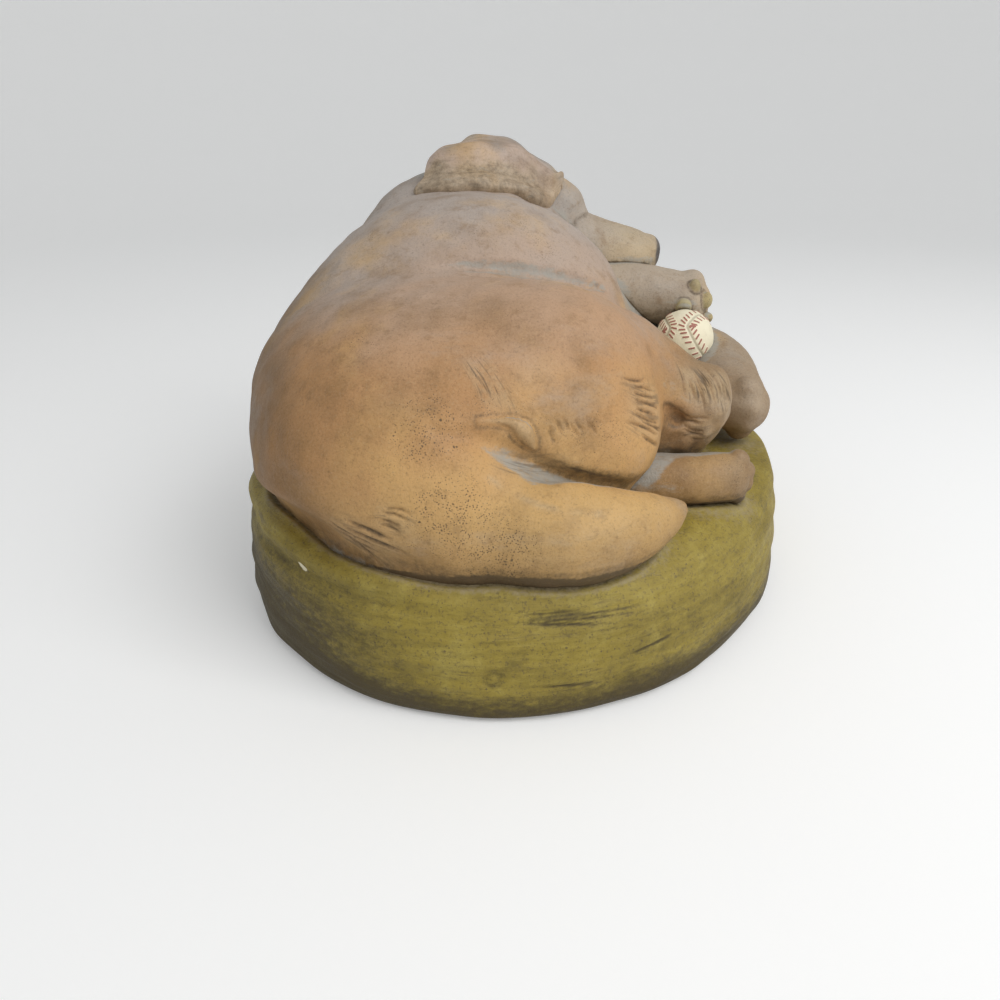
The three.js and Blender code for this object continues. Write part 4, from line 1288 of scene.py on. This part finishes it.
def ball_piece(radius):
    """The ball: rings of latitude on a sphere, sunk along the seam and raised in the slanted stitches on
    both sides of it."""
    rows, columns = 170, 300
    lift = np.linspace(-math.pi / 2, math.pi / 2, rows + 2)[1:-1]
    angle = round_angles(columns)
    ring = np.stack([
        np.cos(lift)[:, None] * np.cos(angle), np.cos(lift)[:, None] * np.sin(angle),
        np.broadcast_to(np.sin(lift)[:, None], (rows, columns)),
    ], axis=-1)
    points = np.vstack([[0, 0, -1], ring.reshape(-1, 3), [0, 0, 1]])
    line = turned(seam(STITCHES * 2), BALL_TILT)
    groove = path_distance(points, np.vstack([line, line[:1]]))[0] * radius
    along = unit(np.roll(line, -1, axis=0) - np.roll(line, 1, axis=0))
    aside = np.cross(line, along)
    thread = np.zeros(len(points))
    for side in (-1, 1):
        begin = line[::2] + aside[::2] * side * 0.1
        end = line[::2] + (aside[::2] * side * 0.26 + along[::2] * 0.07)
        for pair in np.stack([begin, end], axis=1):
            away = path_distance(points, unit(pair))[0] * radius
            thread = np.maximum(thread, np.exp(-(away / 0.36) ** 4))
    carved = 0.28 * thread - 0.35 * bell(groove, 0.4) + 0.06 * waves(points, 0.4, 41)
    spots = points * (radius + carved)[:, None] + BALL_CENTRE
    # Painted shade on the ball where the paw and the body close round it.
    closed = shelter(spots, points, (1.5, 4), lambda p: np.minimum(LEGS["right_foreleg"][0](p), BODY(p)))
    look = {"thread": thread, "grime": ramp(closed, 0.3, 0.8), "seam": bell(groove, 0.45)}
    faces = closed_grid(rows, columns)
    make_piece("ball_cover", spots + DOG_PLACE, faces, ball_finish(), ("ball",), look)


def ball_finish():
    """Cream paint with faint stains, reddish stitches, a dark seam and painted shade where the paw and body
    close round it.
    """
    paint = bpy.context.scene.figurine_colours
    ball = Finish("stitched_ball")
    wear = ball.noise(260, 4)
    base = ball.wash(paint.cream, wear, 0.5, 0.8, 0.15, paint.umber)
    base = ball.tint(base, ball.attribute("seam"), 0.4, paint.grime)
    base = ball.wash(base, ball.attribute("thread"), 0.3, 0.7, 0.9, paint.thread)
    base = ball.tint(base, ball.attribute("grime"), 0.6, paint.grime)
    return ball.finish(base, 0.6, ball.bump(ball.noise(900, 3), 0.2, 0.0004))


class FIGURINE_OT_stage(bpy.types.Operator):
    """Sets up the floor, soft lights and the camera"""

    bl_idname = "figurine.stage"
    bl_label = "Stage"

    def execute(self, context):
        scene = context.scene
        scene.view_settings.view_transform = "Standard"
        floor_piece()
        world_light(scene)
        lamp("key_light", place=(0.48, -0.4, 0.66), size=0.6, watts=4.3)
        lamp("fill_light", place=(-0.5, -0.5, 0.5), size=0.6, watts=0.15)
        camera = bpy.data.objects.new("camera", bpy.data.cameras.new("camera"))
        scene.collection.objects.link(camera)
        camera.location = EYE
        camera.rotation_euler = (math.pi / 2 - EYE_DROP, 0, 0)
        camera.data.lens = LENS
        camera.data.sensor_width = SENSOR
        camera.data.clip_start = 0.01
        scene.camera = camera
        return {"FINISHED"}


def floor_piece():
    """A wide pale floor under the figurine that turns up to a low wall far off, all round."""
    columns = 96
    reach = np.array([0.02, 1.1, 1.25, 1.4, 1.55, 1.68, 1.78, 1.84, 1.86, 1.86])
    rise = np.array([0, 0, 0.01, 0.045, 0.11, 0.21, 0.33, 0.47, 0.62, 1.0])
    angle = round_angles(columns)
    flat = reach[:, None, None] * np.stack([np.cos(angle), np.sin(angle)], axis=-1)
    points = at_heights(flat, rise)
    index = np.arange(len(reach) * columns).reshape(len(reach), columns)
    after = np.roll(index, -1, axis=1)
    quads = np.stack([index[:-1], index[1:], after[1:], after[:-1]], axis=-1).reshape(-1, 4)
    mesh = bpy.data.meshes.new("floor")
    mesh.from_pydata(points.reshape(-1, 3), [], [index[0].tolist(), *quads.tolist()])
    mesh.polygons.foreach_set("use_smooth", np.ones(len(mesh.polygons), bool))
    floor = bpy.data.objects.new("floor", mesh)
    bpy.context.scene.collection.objects.link(floor)
    plain = Finish("floor")
    plain.shader.inputs["Base Color"].default_value = (0.88, 0.88, 0.87, 1)
    plain.shader.inputs["Roughness"].default_value = 0.8
    plain.shader.inputs["Emission Color"].default_value = (1, 1, 1, 1)
    seen = plain.add("ShaderNodeLightPath", {}).outputs["Is Camera Ray"]
    plain.set(plain.shader.inputs["Emission Strength"], plain.math("MULTIPLY", seen, 0.2))
    mesh.materials.append(plain.material)


def world_light(scene):
    """Even light from all round, and a pale background where the camera sees it."""
    world = bpy.data.worlds.new("studio")
    world.use_nodes = True
    nodes, links = world.node_tree.nodes, world.node_tree.links
    background = nodes["Background"]
    background.inputs["Color"].default_value = (0.96, 0.98, 1, 1)
    seen = nodes.new("ShaderNodeLightPath").outputs["Is Camera Ray"]
    strength = nodes.new("ShaderNodeMapRange")
    strength.inputs["To Min"].default_value = 0.45
    strength.inputs["To Max"].default_value = 0.8
    links.new(seen, strength.inputs["Value"])
    links.new(strength.outputs["Result"], background.inputs["Strength"])
    scene.world = world


def lamp(name, place, size, watts):
    """A square soft lamp aimed at the figurine."""
    data = bpy.data.lights.new(name, "AREA")
    data.size = size
    data.energy = watts
    light = bpy.data.objects.new(name, data)
    light.location = place
    aim = np.array([0, 0, 0.05]) - np.array(place)
    light.rotation_euler = (
        math.atan2(math.hypot(aim[0], aim[1]), -aim[2]), 0, math.atan2(aim[1], aim[0]) - math.pi / 2,
    )
    bpy.context.scene.collection.objects.link(light)


class FIGURINE_PT_panel(bpy.types.Panel):
    """Lists the figurine's pieces, sizes and paints"""

    bl_label = "Sleeping Dog Figurine"
    bl_idname = "FIGURINE_PT_panel"
    bl_space_type = "VIEW_3D"
    bl_region_type = "UI"
    bl_category = "Figurine"

    def draw(self, context):
        for operator in OPERATORS:
            self.layout.operator(operator.bl_idname)
        for group in (context.scene.figurine_sizes, context.scene.figurine_colours):
            box = self.layout.box()
            for key in group.__annotations__:
                box.prop(group, key)


OPERATORS = (
    FIGURINE_OT_mound, FIGURINE_OT_body, FIGURINE_OT_legs, FIGURINE_OT_head, FIGURINE_OT_ears,
    FIGURINE_OT_ball, FIGURINE_OT_stage,
)
CLASSES = (FigurineSizes, FigurineColours, *OPERATORS, FIGURINE_PT_panel)


def register():
    for made in CLASSES:
        bpy.utils.register_class(made)
    bpy.types.Scene.figurine_sizes = bpy.props.PointerProperty(type=FigurineSizes)
    bpy.types.Scene.figurine_colours = bpy.props.PointerProperty(type=FigurineColours)


def unregister():
    del bpy.types.Scene.figurine_colours
    del bpy.types.Scene.figurine_sizes
    for made in reversed(CLASSES):
        bpy.utils.unregister_class(made)


def main():
    register()
    for name in ("mound", "body", "legs", "head", "ears", "ball", "stage"):
        getattr(bpy.ops.figurine, name)()


if __name__ == "__main__":
    main()
